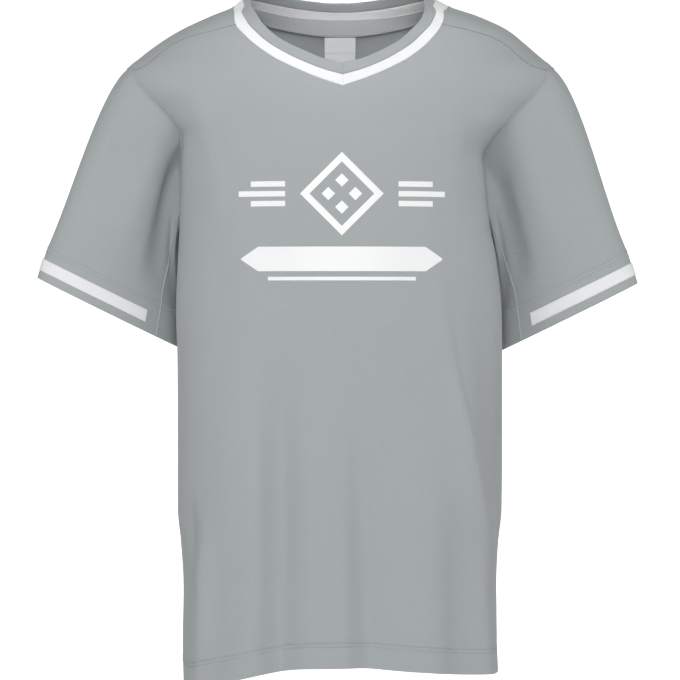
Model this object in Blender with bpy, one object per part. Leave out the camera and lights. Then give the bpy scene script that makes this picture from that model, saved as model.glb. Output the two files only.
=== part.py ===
# Short-sleeved V-neck baseball jersey, filled out as when worn, with nothing inside it.
# Sizes are millimetres here and become metres when a mesh is made.
# +X is the picture's right, the chest faces -Y, and z = 0 lies at the height of the neck's sides.

import math

import bmesh
import bpy
from mathutils import Vector

MM = 0.001
SEAM_GAP = 0.3
PANEL_WALL = 1.6
BAND_WALL = 2.2
COLLAR_WALL = 2.0
TRIM_WALL = 1.0
COLLAR_PROUD = 0.4
MOST_MITRE = 2.2
SIDE_SEAM_TURN = math.radians(95)
UNDERARM_Z = -172

# Level sections of the body, from the collar's edge down: half widths to each side, depth each way
BODY_SECTIONS = [
    # z, left, right, front, back, squareness of the section
    (26, 72, 71, 34, 59, 2.1),
    (16, 83, 82, 46, 63, 2.1),
    (10, 91, 94, 53, 66, 2.1),
    (3, 108, 115, 58, 69, 2.1),
    (-9, 134, 141, 64, 74, 2.05),
    (-20, 152, 155, 69, 79, 1.95),
    (-32, 168, 169, 74, 84, 1.85),
    (-41, 178, 179, 78, 87, 1.82),
    (-52, 180, 181, 82, 90, 1.82),
    (-64, 173, 174, 86, 93, 1.9),
    (-76, 160, 160, 90, 96, 2.0),
    (-88, 146, 145, 94, 98, 2.2),
    (-100, 135, 131, 97, 100, 2.45),
    (-118, 133.6, 121, 100, 102, 2.55),
    (-145, 133.8, 122.5, 103, 104, 2.5),
    (-172, 134.5, 125.5, 105, 105, 2.45),
    (-203, 136, 131.5, 106, 106, 2.4),
    (-245, 137.6, 135.7, 107, 107, 2.4),
    (-285, 136.3, 136.2, 107, 107, 2.4),
    (-345, 136, 136.2, 107, 107, 2.4),
    (-410, 136, 135.8, 107, 106, 2.4),
    (-440, 133.3, 132.7, 107, 105, 2.4),
    (-475, 131.3, 131, 106, 105, 2.4),
    (-520, 132, 131, 106, 105, 2.4),
    (-566, 129, 132, 105, 104, 2.4),
]

# The hem's height round the body, by turn from the middle of the front (minus is left)
HEM_HEIGHTS = [
    # turn in degrees, z
    (-180, -546),
    (-140, -549),
    (-95, -551),
    (-79, -554),
    (-62, -555.5),
    (-48, -551),
    (-38, -546.5),
    (-25, -540),
    (-10, -535.5),
    (1, -535),
    (28, -539),
    (50, -543.4),
    (79, -545),
    (95, -545),
    (140, -547),
    (180, -546),
]

# Soft folds of the body: a centre line from top to foot, half its width, and its height
BODY_FOLDS = [
    # face, x top, z top, x foot, z foot, half width, height, fades at the foot
    ("front", 94, -285, 131, -485, 11, 4.5, True),
    ("front", 109, -415, 123, -570, 10, 4.5, False),
    ("front", -106, -405, -120, -570, 10, 5.0, False),
    ("front", -124, -390, -127, -500, 7, -3.0, True),
    ("front", -50, -240, -53, -570, 17, -4.5, False),
    ("front", -16, -300, -17, -570, 15, 3.0, False),
    ("front", 4, -310, 23, -570, 14, -3.5, False),
    ("front", 62, -320, 70, -570, 18, 3.5, False),
    ("front", 96, -390, 98, -570, 12, -3.5, False),
    ("front", -85, -250, -85, -570, 18, 3.5, False),
    ("front", -138, -55, -126, -125, 13, -2.0, True),
    ("front", 118, -50, 112, -135, 13, -2.5, True),
    ("back", -96, -280, -124, -500, 12, 4.0, True),
    ("back", 104, -380, 118, -570, 11, 4.5, False),
    ("back", -62, -230, -70, -570, 18, -4.5, False),
    ("back", -24, -300, -28, -570, 16, 3.0, False),
    ("back", 12, -260, 20, -570, 17, -4.0, False),
    ("back", 60, -310, 66, -570, 18, 3.5, False),
    ("back", -112, -60, -104, -190, 12, -3.0, True),
    ("back", 110, -60, 102, -200, 12, -3.0, True),
    ("back", 38, -60, 24, -220, 16, -2.5, True),
]

# The armhole's course, top to underarm, as seen from the side
ARMHOLE_FRONT = [
    # z, y
    (-44, -18),
    (-61, -28),
    (-76, -31),
    (-89, -29),
    (-101, -20),
    (-118, -7),
    (-140, -3.5),
    (-158, 0.5),
    (-168, 4.5),
]
ARMHOLE_BACK = [
    # z, y
    (-42.2, -10),
    (-41.5, 2),
    (-52, 22),
    (-76, 42),
    (-100, 48),
    (-125, 42),
    (-148, 32),
    (-161, 24),
    (-169, 16.5),
]

# The shoulder seam lies forward of the ridge: from the armhole to the neck, as seen from the front
SHOULDER_SEAM = [
    # z, left x, right x
    (-39.8, -160.5, 157),
    (-26.5, -144.7, 141),
    (-18, -127.5, 126.5),
    (-12.5, -104, 106),
]

# The collar round the neck, from the V to the shoulder seam: outer edge and inner edge
COLLAR_FRONT = [
    # outer left x, outer right x, outer z, inner left x, inner right x, inner z
    (-16.1, 19.9, -54.9, -14.0, 18.0, -37.8),
    (-36.3, 40.0, -46.3, -29.6, 33.2, -31.0),
    (-63.4, 65.1, -30.7, -49.5, 50.5, -20.6),
    (-78.6, 78.1, -17.4, -62.3, 62.4, -8.9),
    (-86.5, 84.2, -8.2, -69.4, 69.1, 2.4),
]
COLLAR_RISE = [
    # the same, from the shoulder seam up to the ridge
    # outer left x, outer right x, outer z, inner left x, inner right x, inner z
    (-87.7, 86.3, -0.3, -73.7, 69.7, 10.0),
    (-88.7, 87.7, 5.6, -75.2, 71.6, 16.7),
]
V_X = 2.1
V_OUTER_Z = -61.1
V_INNER_Z = -41.8
COLLAR_BACK = [
    # turn in degrees, outer z, inner z
    (90, 12.8, 25.5),
    (125, 12.2, 25.3),
    (155, 7.3, 22.1),
    (172, 5.0, 20.2),
    (180, 4.9, 20.1),
]

# Inside the back neck
TAPE_TURN = math.radians(100)
TAPE_ROWS = [
    # distance down the back from the neck seam, distance under the back panel
    (-2.0, 0.3),
    (5.0, 1.1),
    (13.0, 1.4),
]
LABEL_WIDTH = 27
LABEL_HEIGHT = 20
LABEL_LEAN = 2.5

# A sleeve's end ovals, at the cuff's seam and at its hem
SLEEVES = {
    # x and z of the oval's outer end, half its width; how far the back leaves the body sideways
    "left": {"seam": (-245.5, -191.0, 64.8), "hem": (-254.5, -216.7, 68.4), "back_leaves": 5},
    "right": {"seam": (241.0, -194.0, 62.8), "hem": (250.3, -221.4, 66.8), "back_leaves": 20},
}
CUFF_SLOPE = math.radians(26.3)
CUFF_YAW = math.radians(18)
CUFF_HALF_DEPTH = 33
CUFF_OUTER_Y = 4
SLEEVE_LEAVE_TOP = Vector((0.80, 0.0, -0.60)) * 90
SLEEVE_LEAVE_FOOT = Vector((0.36, 0.20, -0.92)) * 70
SLEEVE_BACK_STARTS = (8, 26)
SLEEVE_ARRIVE_OUTER = Vector((0.42, 0.0, -0.91)) * 140
SLEEVE_ARRIVE_INNER = Vector((-0.06, 0.35, -0.93)) * 70

# Soft folds along a sleeve, by turn from its inner line through the front
SLEEVE_FOLDS = [
    # turn in degrees, half width in degrees, height, start, end along the sleeve
    (62, 16, -4.0, 0.05, 1.0),
    (96, 16, 2.5, 0.10, 0.9),
    (132, 14, -2.0, 0.15, 0.8),
    (-70, 18, -3.5, 0.05, 1.0),
    (-112, 16, 2.5, 0.10, 0.9),
]
STRIPE_TOP = 0.37
STRIPE_FOOT = 0.74
GUSSET_COLUMNS = 6
GUSSET_AT_ARMHOLE = 1.0
GUSSET_AT_CUFF = 3.3
GUSSET_WIDENS_FROM = 0.15
STRIPE_SHORT = 1

# How finely each piece is laid out
SIDE_ROWS = 13
FRONT_ARM_ROWS = 10
BACK_ARM_ROWS = 14
SHOULDER_COLUMNS = 5
NECK_COLUMNS_FRONT = 20
NECK_COLUMNS_BACK = 20
SLEEVE_ROWS = 9
RELAX_ROUNDS = 80
TURN_LENGTH = 110
SPLINE_STEPS = 12
NECK_STEPS = 90
LABEL_COLUMNS = 4
LABEL_ROWS = 3

# Steps over which slopes are measured: in turn, in height, round a sleeve and along it
TURN_STEP = 0.02
HEIGHT_STEP = 2
ROUND_STEP = 0.3
ALONG_STEP = 0.02

# Shares of a fold's length where it has risen in full and where it starts to fade
FOLD_RISEN = 0.35
FOLD_FADING = 0.65
SLEEVE_FOLD_RISE = 0.3
SIDES_KEPT_PLAIN = 25
SHARP_EDGE = math.radians(40)

GREY_MESH = (0.366, 0.387, 0.391, 1)
GREY_KNIT = (0.366, 0.379, 0.379, 1)
WHITE_KNIT = (0.83, 0.85, 0.84, 1)
LABEL_CLOTH = (0.72, 0.73, 0.73, 1)


def cleared_scene():
    for thing in list(bpy.data.objects):
        bpy.data.objects.remove(thing)
    group = bpy.data.collections.new("baseball_jersey")
    bpy.context.scene.collection.children.link(group)
    return group


def cloth_material(name, colour, roughness):
    material = bpy.data.materials.new(name)
    material.use_nodes = True
    shader = material.node_tree.nodes["Principled BSDF"]
    shader.inputs["Base Color"].default_value = colour
    shader.inputs["Roughness"].default_value = roughness
    shader.inputs["Metallic"].default_value = 0.0
    return material


def smooth_step(low, high, value):
    t = min(1.0, max(0.0, (value - low) / (high - low)))
    return t * t * (3 - 2 * t)


def between_rows(rows, key, column):
    """A smooth value read from a table whose first column rises or falls."""
    ordered = sorted(rows, key=lambda row: row[0])
    keys = [row[0] for row in ordered]
    values = [row[column] for row in ordered]
    if key <= keys[0]:
        return values[0]
    if key >= keys[-1]:
        return values[-1]
    i = max(n for n in range(len(keys) - 1) if keys[n] <= key)
    steps = [
        (values[n + 1] - values[n]) / (keys[n + 1] - keys[n]) for n in range(len(keys) - 1)
    ]

    def slope(n):
        if n == 0 or n == len(keys) - 1:
            return steps[min(n, len(steps) - 1)]
        if steps[n - 1] * steps[n] <= 0:
            return 0.0
        return 2 * steps[n - 1] * steps[n] / (steps[n - 1] + steps[n])

    span = keys[i + 1] - keys[i]
    t = (key - keys[i]) / span
    return (
        (2 * t**3 - 3 * t**2 + 1) * values[i]
        + (t**3 - 2 * t**2 + t) * span * slope(i)
        + (3 * t**2 - 2 * t**3) * values[i + 1]
        + (t**3 - t**2) * span * slope(i + 1)
    )


def curve_points(knots, count):
    """count + 1 evenly spaced points on a smooth curve through knots of (turn, z)."""
    dense = []
    for n in range(len(knots) - 1):
        before = knots[max(n - 1, 0)]
        start = knots[n]
        end = knots[n + 1]
        after = knots[min(n + 2, len(knots) - 1)]
        for step in range(SPLINE_STEPS):
            t = step / SPLINE_STEPS
            dense.append(
                tuple(
                    0.5
                    * (
                        2 * b
                        + (c - a) * t
                        + (2 * a - 5 * b + 4 * c - d) * t * t
                        + (3 * b - a - 3 * c + d) * t**3
                    )
                    for a, b, c, d in zip(before, start, end, after)
                )
            )
    dense.append(knots[-1])
    places = [body_point(*p) for p in dense]
    run = [0.0]
    for a, b in zip(places, places[1:]):
        run.append(run[-1] + (b - a).length)
    found = []
    n = 0
    for k in range(count + 1):
        goal = run[-1] * k / count
        while n < len(run) - 2 and run[n + 1] < goal:
            n += 1
        t = (goal - run[n]) / max(run[n + 1] - run[n], 1e-9)
        found.append(tuple(a + (b - a) * t for a, b in zip(dense[n], dense[n + 1])))
    return found


def section_at(turn, z):
    """Half width and depth of the quarter of the body's section that this turn lies in."""
    width = between_rows(BODY_SECTIONS, z, 1 if math.sin(turn) < 0 else 2)
    depth = between_rows(BODY_SECTIONS, z, 3 if math.cos(turn) > 0 else 4)
    return width, depth


def squareness(z):
    return between_rows(BODY_SECTIONS, z, 5)


def plain_body_point(turn, z):
    width, depth = section_at(turn, z)
    across, along = math.sin(turn), math.cos(turn)
    power = squareness(z)
    reach = (abs(across) ** power + abs(along) ** power) ** (-1 / power)
    return Vector((width * reach * across, -depth * reach * along, z))


def plain_body_normal(turn, z):
    around = plain_body_point(turn + TURN_STEP, z) - plain_body_point(turn - TURN_STEP, z)
    up = plain_body_point(turn, z + HEIGHT_STEP) - plain_body_point(turn, z - HEIGHT_STEP)
    return around.cross(up).normalized()


def fold_height(turn, z):
    at = plain_body_point(turn, z)
    face = "front" if at.y < 0 else "back"
    total = 0.0
    for side, x_top, z_top, x_foot, z_foot, half_width, height, fades in BODY_FOLDS:
        if side != face or not z_foot <= z <= z_top:
            continue
        t = (z_top - z) / (z_top - z_foot)
        off = (at.x - (x_top + (x_foot - x_top) * t)) / half_width
        strength = smooth_step(0, FOLD_RISEN, t)
        if fades:
            strength *= 1 - smooth_step(FOLD_FADING, 1, t)
        total += height * strength * math.exp(-off * off)
    return total * smooth_step(0, SIDES_KEPT_PLAIN, abs(at.y))


def body_point(turn, z):
    return plain_body_point(turn, z) + plain_body_normal(turn, z) * fold_height(turn, z)


def body_normal(turn, z):
    around = body_point(turn + TURN_STEP, z) - body_point(turn - TURN_STEP, z)
    up = body_point(turn, z + HEIGHT_STEP) - body_point(turn, z - HEIGHT_STEP)
    return around.cross(up).normalized()


def turn_from_depth(side, y, z):
    """The turn at which the body's section at z has this y."""
    facing = -1.0 if y > 0 else 1.0
    depth = between_rows(BODY_SECTIONS, z, 3 if y < 0 else 4)
    along = abs(y) / depth
    across = (1 - along ** squareness(z)) ** (1 / squareness(z))
    return side * math.atan2(across, facing * along)


def turn_from_width(x, z, facing=1.0):
    """The turn on the front, or with -1 on the back, at which the section at z has this x."""
    width = between_rows(BODY_SECTIONS, z, 1 if x < 0 else 2)
    across = min(abs(x) / width, 1.0)
    along = (1 - across ** squareness(z)) ** (1 / squareness(z))
    return math.copysign(math.atan2(across, facing * along), x)


def down_surface(turn, z, distance):
    """The height this far down the body's surface from z, or up it when the distance is minus."""
    start = body_point(turn, z)
    near, far = z, z - 2 * distance
    for _ in range(20):
        middle = (near + far) / 2
        if (body_point(turn, middle) - start).length < abs(distance):
            near = middle
        else:
            far = middle
    return near


def hem_z(turn):
    return between_rows(HEM_HEIGHTS, math.degrees(turn), 1)


def side_seam(side):
    turn = side * SIDE_SEAM_TURN
    foot = hem_z(turn)
    return [(turn, foot + (UNDERARM_Z - foot) * n / SIDE_ROWS) for n in range(SIDE_ROWS + 1)]


def armhole_courses(side):
    """The armhole from the underarm up to the shoulder seam, before and behind the arm."""
    underarm = (side * SIDE_SEAM_TURN, UNDERARM_Z)
    front = [(turn_from_depth(side, y, z), z) for z, y in ARMHOLE_FRONT]
    back = [(turn_from_depth(side, y, z), z) for z, y in ARMHOLE_BACK]
    before = [underarm] + front[::-1]
    behind = [underarm] + back[::-1] + [front[0]]
    return curve_points(before, FRONT_ARM_ROWS), curve_points(behind, BACK_ARM_ROWS)


def collar_knots(side, edge):
    """One half of the neck, V to middle back: the outer edge at 0, the inner at 1."""
    left = side < 0
    knots = []
    z = V_OUTER_Z + (V_INNER_Z - V_OUTER_Z) * edge
    knots.append((turn_from_width(V_X, z), z))
    for row in COLLAR_FRONT + COLLAR_RISE:
        outer_x = row[0] if left else row[1]
        inner_x = row[3] if left else row[4]
        outer = (turn_from_width(outer_x, row[2]), row[2])
        inner = (turn_from_width(inner_x, row[5]), row[5])
        knots.append(tuple(a + (b - a) * edge for a, b in zip(outer, inner)))
    for turn, outer_z, inner_z in COLLAR_BACK:
        knots.append((side * math.radians(turn), outer_z + (inner_z - outer_z) * edge))
    return knots


def neck_half(side, edge):
    """Points from the V to the shoulder seam, and on to the middle of the back."""
    knots = collar_knots(side, edge)
    split = len(COLLAR_FRONT) + 1
    smooth = curve_points(knots, NECK_STEPS)
    joint = min(
        range(len(smooth)),
        key=lambda n: (smooth[n][0] - knots[split - 1][0]) ** 2
        + ((smooth[n][1] - knots[split - 1][1]) / 60) ** 2,
    )
    front = curve_points(smooth[:joint] + [knots[split - 1]], NECK_COLUMNS_FRONT // 2)
    back = curve_points([knots[split - 1]] + smooth[joint + 1:], NECK_COLUMNS_BACK // 2 + 4)
    return front, back


def shoulder_course(side):
    """The shoulder seam from the armhole to the neck."""
    start = armhole_courses(side)[0][-1]
    end = neck_half(side, 0)[0][-1]
    column = 1 if side < 0 else 2
    middle = [(turn_from_width(row[column], row[0]), row[0]) for row in SHOULDER_SEAM]
    return curve_points([start] + middle + [end], SHOULDER_COLUMNS)


def spanned(left, right, foot, top):
    """A patch in (turn, z) between four border curves."""
    rows = len(left) - 1
    columns = len(foot) - 1
    grid = []
    for i in range(rows + 1):
        v = i / rows
        line = []
        for j in range(columns + 1):
            u = j / columns
            line.append(
                tuple(
                    (1 - u) * left[i][c]
                    + u * right[i][c]
                    + (1 - v) * foot[j][c]
                    + v * top[j][c]
                    - (1 - u) * (1 - v) * foot[0][c]
                    - u * (1 - v) * foot[-1][c]
                    - (1 - u) * v * top[0][c]
                    - u * v * top[-1][c]
                    for c in (0, 1)
                )
            )
        grid.append(line)
    return grid


def relaxed(grid):
    """The patch eased, by the elliptic rule that keeps its cells from folding over."""
    rows, columns = len(grid), len(grid[0])
    flat = [[Vector((turn * TURN_LENGTH, z)) for turn, z in line] for line in grid]
    for _ in range(RELAX_ROUNDS):
        for i in range(1, rows - 1):
            for j in range(1, columns - 1):
                along = flat[i][j + 1] - flat[i][j - 1]
                across = flat[i + 1][j] - flat[i - 1][j]
                twist = flat[i + 1][j + 1] - flat[i + 1][j - 1]
                twist = twist - flat[i - 1][j + 1] + flat[i - 1][j - 1]
                a, b, c = across.dot(across), across.dot(along), along.dot(along)
                beside = flat[i][j + 1] + flat[i][j - 1]
                above = flat[i + 1][j] + flat[i - 1][j]
                flat[i][j] = (a * beside + c * above - 0.5 * b * twist) / (2 * (a + c))
    return [[(p.x / TURN_LENGTH, p.y) for p in line] for line in flat]


def hem_course(start, end, columns):
    turns = [start + (end - start) * n / columns for n in range(columns + 1)]
    wrapped = [(t + math.pi) % (2 * math.pi) - math.pi for t in turns]
    return [(turn, hem_z(w)) for turn, w in zip(turns, wrapped)]


def front_layout():
    left = side_seam(-1) + armhole_courses(-1)[0][1:]
    right = side_seam(1) + armhole_courses(1)[0][1:]
    neck_left = neck_half(-1, 0)[0]
    neck_right = neck_half(1, 0)[0]
    top = shoulder_course(-1) + neck_left[::-1][1:] + neck_right[1:]
    top += shoulder_course(1)[::-1][1:]
    foot = hem_course(-SIDE_SEAM_TURN, SIDE_SEAM_TURN, len(top) - 1)
    return relaxed(spanned(left, right, foot, top))


def back_layout():
    """Turns run on past half a turn, so that the back is one sheet."""
    full = 2 * math.pi
    right, left = (
        side_seam(side) + armhole_courses(side)[1][1:] + shoulder_course(side)[1:]
        for side in (1, -1)
    )
    left = [(t + full, z) for t, z in left]
    neck_right = neck_half(1, 0)[1]
    neck_left = [(t + full, z) for t, z in neck_half(-1, 0)[1]]
    top = neck_right + neck_left[::-1][1:]
    foot = hem_course(SIDE_SEAM_TURN, full - SIDE_SEAM_TURN, len(top) - 1)
    return relaxed(spanned(right, left, foot, top))


def armhole_loop(side):
    """The armhole from the underarm through the front, over the top and down the back."""
    before, behind = armhole_courses(side)
    return before + behind[::-1][1:-1]


class Sleeve:
    """One sleeve: an armhole blended into the oval of its cuff."""

    def __init__(self, side):
        self.side = side
        name = "left" if side < 0 else "right"
        self.ends = SLEEVES[name]
        self.chart = armhole_loop(side)
        self.armhole = [body_point(*p) for p in self.chart]
        self.count = len(self.armhole)
        self.top = max(range(self.count), key=lambda n: abs(self.armhole[n].x))
        self.turns = self.turns_round()
        self.axis = Vector((side * math.sin(CUFF_SLOPE), 0, -math.cos(CUFF_SLOPE)))
        flat = Vector((-side * math.cos(CUFF_SLOPE), 0, -math.sin(CUFF_SLOPE)))
        back = Vector((0, 1, 0))
        self.major = flat * math.cos(CUFF_YAW) + back * math.sin(CUFF_YAW)
        self.minor = back * math.cos(CUFF_YAW) - flat * math.sin(CUFF_YAW)

    def turns_round(self):
        """For each armhole point its turn on the cuff's oval: 0 inside, half a turn outside."""
        loop = self.armhole + [self.armhole[0]]
        run = [0.0]
        for a, b in zip(loop, loop[1:]):
            run.append(run[-1] + (b - a).length)
        at_top = run[self.top]
        found = []
        for length in run:
            if length <= at_top:
                found.append(math.pi * length / at_top)
            else:
                found.append(math.pi + math.pi * (length - at_top) / (run[-1] - at_top))
        return found

    def at_armhole(self, k):
        k = k % self.count
        n = int(math.floor(k))
        t = k - n
        a = self.armhole[n]
        b = self.armhole[(n + 1) % self.count]
        return a.lerp(b, t)

    def turn(self, k):
        wraps = math.floor(k / self.count)
        k = k - wraps * self.count
        n = int(math.floor(k))
        t = k - n
        return self.turns[n] + (self.turns[n + 1] - self.turns[n]) * t + wraps * 2 * math.pi

    def oval(self, end, turn):
        x, z, half_width = self.ends[end]
        centre = Vector((x, CUFF_OUTER_Y, z)) + self.major * half_width
        return (
            centre
            + self.major * half_width * math.cos(turn)
            - self.minor * CUFF_HALF_DEPTH * math.sin(turn)
        )

    def plain(self, k, v):
        start = self.at_armhole(k)
        turn = self.turn(k)
        end = self.oval("seam", turn)
        out = (1 - math.cos(turn)) / 2
        high = (start.z - UNDERARM_Z) / (self.armhole[self.top].z - UNDERARM_Z)
        foot = SLEEVE_LEAVE_FOOT.copy()
        foot.x += (self.ends["back_leaves"] - foot.x) * smooth_step(*SLEEVE_BACK_STARTS, start.y)
        leave = foot.lerp(SLEEVE_LEAVE_TOP, high)
        arrive = SLEEVE_ARRIVE_INNER.lerp(SLEEVE_ARRIVE_OUTER, out)
        leave = Vector((leave.x * self.side, leave.y, leave.z))
        arrive = Vector((arrive.x * self.side, arrive.y, arrive.z))
        return (
            start * (2 * v**3 - 3 * v**2 + 1)
            + leave * (v**3 - 2 * v**2 + v)
            + end * (3 * v**2 - 2 * v**3)
            + arrive * (v**3 - v**2)
        )

    def plain_normal(self, k, v):
        low, high = max(v - ALONG_STEP, 0.0), min(v + ALONG_STEP, 1.0)
        around = self.plain(k + ROUND_STEP, v) - self.plain(k - ROUND_STEP, v)
        along = self.plain(k, high) - self.plain(k, low)
        return (along.cross(around) * self.side).normalized()

    def point(self, k, v):
        degrees = math.degrees(self.turn(k))
        lift = 0.0
        for turn, half_width, height, start, end in SLEEVE_FOLDS:
            off = ((degrees - turn + 180) % 360 - 180) / half_width
            strength = smooth_step(start, start + SLEEVE_FOLD_RISE, v)
            strength *= 1 - smooth_step(end - SLEEVE_FOLD_RISE, end, v)
            lift += height * strength * math.exp(-off * off)
        return self.plain(k, v) + self.plain_normal(k, v) * lift

    def normal(self, k, v):
        low, high = max(v - ALONG_STEP, 0.0), min(v + ALONG_STEP, 1.0)
        around = self.point(k + ROUND_STEP, v) - self.point(k - ROUND_STEP, v)
        along = self.point(k, high) - self.point(k, low)
        return (along.cross(around) * self.side).normalized()

    def cuff_point(self, k, v):
        turn = self.turn(k)
        return self.oval("seam", turn).lerp(self.oval("hem", turn), v)

    def cuff_normal(self, k, v):
        around = self.cuff_point(k + ROUND_STEP, v) - self.cuff_point(k - ROUND_STEP, v)
        along = self.cuff_point(k, 1) - self.cuff_point(k, 0)
        return (along.cross(around) * self.side).normalized()

    def cuff_seam_step(self, k, wall):
        return mitre(self.normal(k, 1), self.cuff_normal(k, 0), wall)

    def gusset_edge(self, v):
        widened = smooth_step(GUSSET_WIDENS_FROM, 1, v)
        return GUSSET_AT_ARMHOLE + (GUSSET_AT_CUFF - GUSSET_AT_ARMHOLE) * widened

    def main_columns(self, v):
        edge = self.gusset_edge(v)
        columns = self.count - 2 * round(GUSSET_AT_ARMHOLE)
        span = self.count - 2 * edge
        return [edge + span * n / columns for n in range(columns + 1)]

    def gusset_columns(self, v):
        edge = self.gusset_edge(v)
        return [edge * (2 * n / GUSSET_COLUMNS - 1) for n in range(GUSSET_COLUMNS + 1)]


def wall_points(outside, normals, wall):
    return [
        [p - n * wall for p, n in zip(line, directions)]
        for line, directions in zip(outside, normals)
    ]


def closed_wall(outside, inside, looped):
    """A mesh between two grids of points, with its edges closed. A looped grid joins its last
    column to its first."""
    rows = len(outside)
    columns = len(outside[0])
    mesh = bmesh.new()
    outer = [[mesh.verts.new(p * MM) for p in line] for line in outside]
    inner = [[mesh.verts.new(p * MM) for p in line] for line in inside]
    last = columns if looped else columns - 1
    for i in range(rows - 1):
        for j in range(last):
            k = (j + 1) % columns
            for grid, turned in ((outer, False), (inner, True)):
                a, b, c, d = grid[i][j], grid[i][k], grid[i + 1][k], grid[i + 1][j]
                for corners in ((a, b, c), (a, c, d)):
                    mesh.faces.new(corners[::-1] if turned else corners)
    for j in range(last):
        k = (j + 1) % columns
        for i, turned in ((0, False), (rows - 1, True)):
            a, b, c, d = outer[i][j], inner[i][j], inner[i][k], outer[i][k]
            for corners in ((a, b, c), (a, c, d)):
                mesh.faces.new(corners[::-1] if turned else corners)
    if not looped:
        for i in range(rows - 1):
            for j, turned in ((0, True), (columns - 1, False)):
                a, b, c, d = outer[i][j], inner[i][j], inner[i + 1][j], outer[i + 1][j]
                for corners in ((a, b, c), (a, c, d)):
                    mesh.faces.new(corners[::-1] if turned else corners)
    if mesh.calc_volume(signed=True) < 0:
        bmesh.ops.reverse_faces(mesh, faces=mesh.faces)
    return mesh


def add_piece(name, outside, inside, material, group, looped=False):
    mesh = closed_wall(outside, inside, looped)
    data = bpy.data.meshes.new(name)
    mesh.to_mesh(data)
    mesh.free()
    data.shade_smooth()
    data.set_sharp_from_angle(angle=SHARP_EDGE)
    data.materials.append(material)
    piece = bpy.data.objects.new(name, data)
    group.objects.link(piece)
    return piece


def pulled_back(outside, inside, border, towards):
    """Moves one border of both grids half a seam gap towards the piece's own cloth."""
    for (i, j), direction in zip(border, towards):
        step = direction.normalized() * (SEAM_GAP / 2)
        outside[i][j] = outside[i][j] + step
        inside[i][j] = inside[i][j] + step


def border_cells(rows, columns, edge):
    if edge == "foot":
        return [(0, j) for j in range(columns)]
    if edge == "top":
        return [(rows - 1, j) for j in range(columns)]
    if edge == "start":
        return [(i, 0) for i in range(rows)]
    return [(i, columns - 1) for i in range(rows)]


def inward_steps(outside, border):
    """From each border point, across the border into the cloth."""
    rows, columns = len(outside), len(outside[0])
    steps = []
    for n, (i, j) in enumerate(border):
        before = border[max(n - 1, 0)]
        after = border[min(n + 1, len(border) - 1)]
        tangent = outside[after[0]][after[1]] - outside[before[0]][before[1]]
        tangent.normalize()
        if border[0][0] == border[-1][0]:
            near = (1 if i == 0 else rows - 2, j)
        else:
            near = (i, 1 if j == 0 else columns - 2)
        across = outside[near[0]][near[1]] - outside[i][j]
        steps.append(across - tangent * across.dot(tangent))
    return steps


def mitre(normal_a, normal_b, wall):
    """The step from a seam's outside to its inside, shared by the two walls that meet there."""
    both = normal_a + normal_b
    both.normalize()
    lean = max(both.dot(normal_a), 1 / MOST_MITRE)
    return both * (-wall / lean)


def seam_planes(points, steps, sleeve_side):
    """Across each point of a looped seam, square to it and to its mitre."""
    found = []
    count = len(points)
    for n in range(count):
        tangent = points[(n + 1) % count] - points[n - 1]
        across = tangent.cross(steps[n])
        if across.dot(Vector((sleeve_side, 0, -0.35))) < 0:
            across = -across
        found.append(across.normalized())
    return found


def main():
    group = cleared_scene()
    mesh_cloth = cloth_material("grey_polyester_mesh", GREY_MESH, 0.75)
    grey_knit = cloth_material("grey_rib_knit", GREY_KNIT, 0.8)
    white_knit = cloth_material("white_rib_knit", WHITE_KNIT, 0.75)
    label_cloth = cloth_material("woven_label", LABEL_CLOTH, 0.6)

    sleeves = {"left": Sleeve(-1), "right": Sleeve(1)}
    mitres = {}
    for name, sleeve in sleeves.items():
        steps = []
        for k in range(sleeve.count):
            body = body_normal(*sleeve.chart[k])
            arm = sleeve.normal(k, 0.0)
            steps.append(mitre(body, arm, PANEL_WALL))
        planes = seam_planes(sleeve.armhole, steps, sleeve.side)
        mitres[name] = (steps, planes)

    make_body_panels(sleeves, mitres, mesh_cloth, group)
    for name, sleeve in sleeves.items():
        make_sleeve(name, sleeve, mitres[name], mesh_cloth, group)
        make_cuff(name, sleeve, mesh_cloth, white_knit, group)
    make_collar(grey_knit, white_knit, group)
    make_neck_tape_and_label(grey_knit, label_cloth, group)


def make_body_panels(sleeves, mitres, material, group):
    for name, layout, arm_rows in (
        ("front_panel", front_layout(), FRONT_ARM_ROWS),
        ("back_panel", back_layout(), BACK_ARM_ROWS),
    ):
        outside = [[body_point(*p) for p in line] for line in layout]
        normals = [[body_normal(*p) for p in line] for line in layout]
        inside = wall_points(outside, normals, PANEL_WALL)
        rows, columns = len(outside), len(outside[0])
        moves = []
        for edge in ("start", "end"):
            border = border_cells(rows, columns, edge)
            moves.append((border, inward_steps(outside, border)))
        top = border_cells(rows, columns, "top")
        moves.append((top, inward_steps(outside, top)))
        armholes = []
        for edge in ("start", "end"):
            left = (edge == "start") == (name == "front_panel")
            sleeve = sleeves["left" if left else "right"]
            steps, planes = mitres["left" if left else "right"]
            column = 0 if edge == "start" else columns - 1
            for r in range(arm_rows + 1):
                i = SIDE_ROWS + r
                k = r if name == "front_panel" else (sleeve.count - r) % sleeve.count
                inside[i][column] = outside[i][column] + steps[k]
                armholes.append(((i, column), -planes[k]))
        seen = {cell for cell, _ in armholes}
        for border, steps in moves:
            kept = [(cell, step) for cell, step in zip(border, steps) if cell not in seen]
            pulled_back(outside, inside, [c for c, _ in kept], [s for _, s in kept])
        pulled_back(outside, inside, [c for c, _ in armholes], [s for _, s in armholes])
        for column, beside in ((0, 1), (columns - 1, columns - 2)):
            low, high = SIDE_ROWS, SIDE_ROWS + arm_rows
            across = outside[low][beside] - outside[low][column]
            along = outside[high - 1][column] - outside[high][column]
            corners = [(low, column), (high, column)]
            pulled_back(outside, inside, corners, [across, along])
        add_piece(name, outside, inside, material, group)


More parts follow.
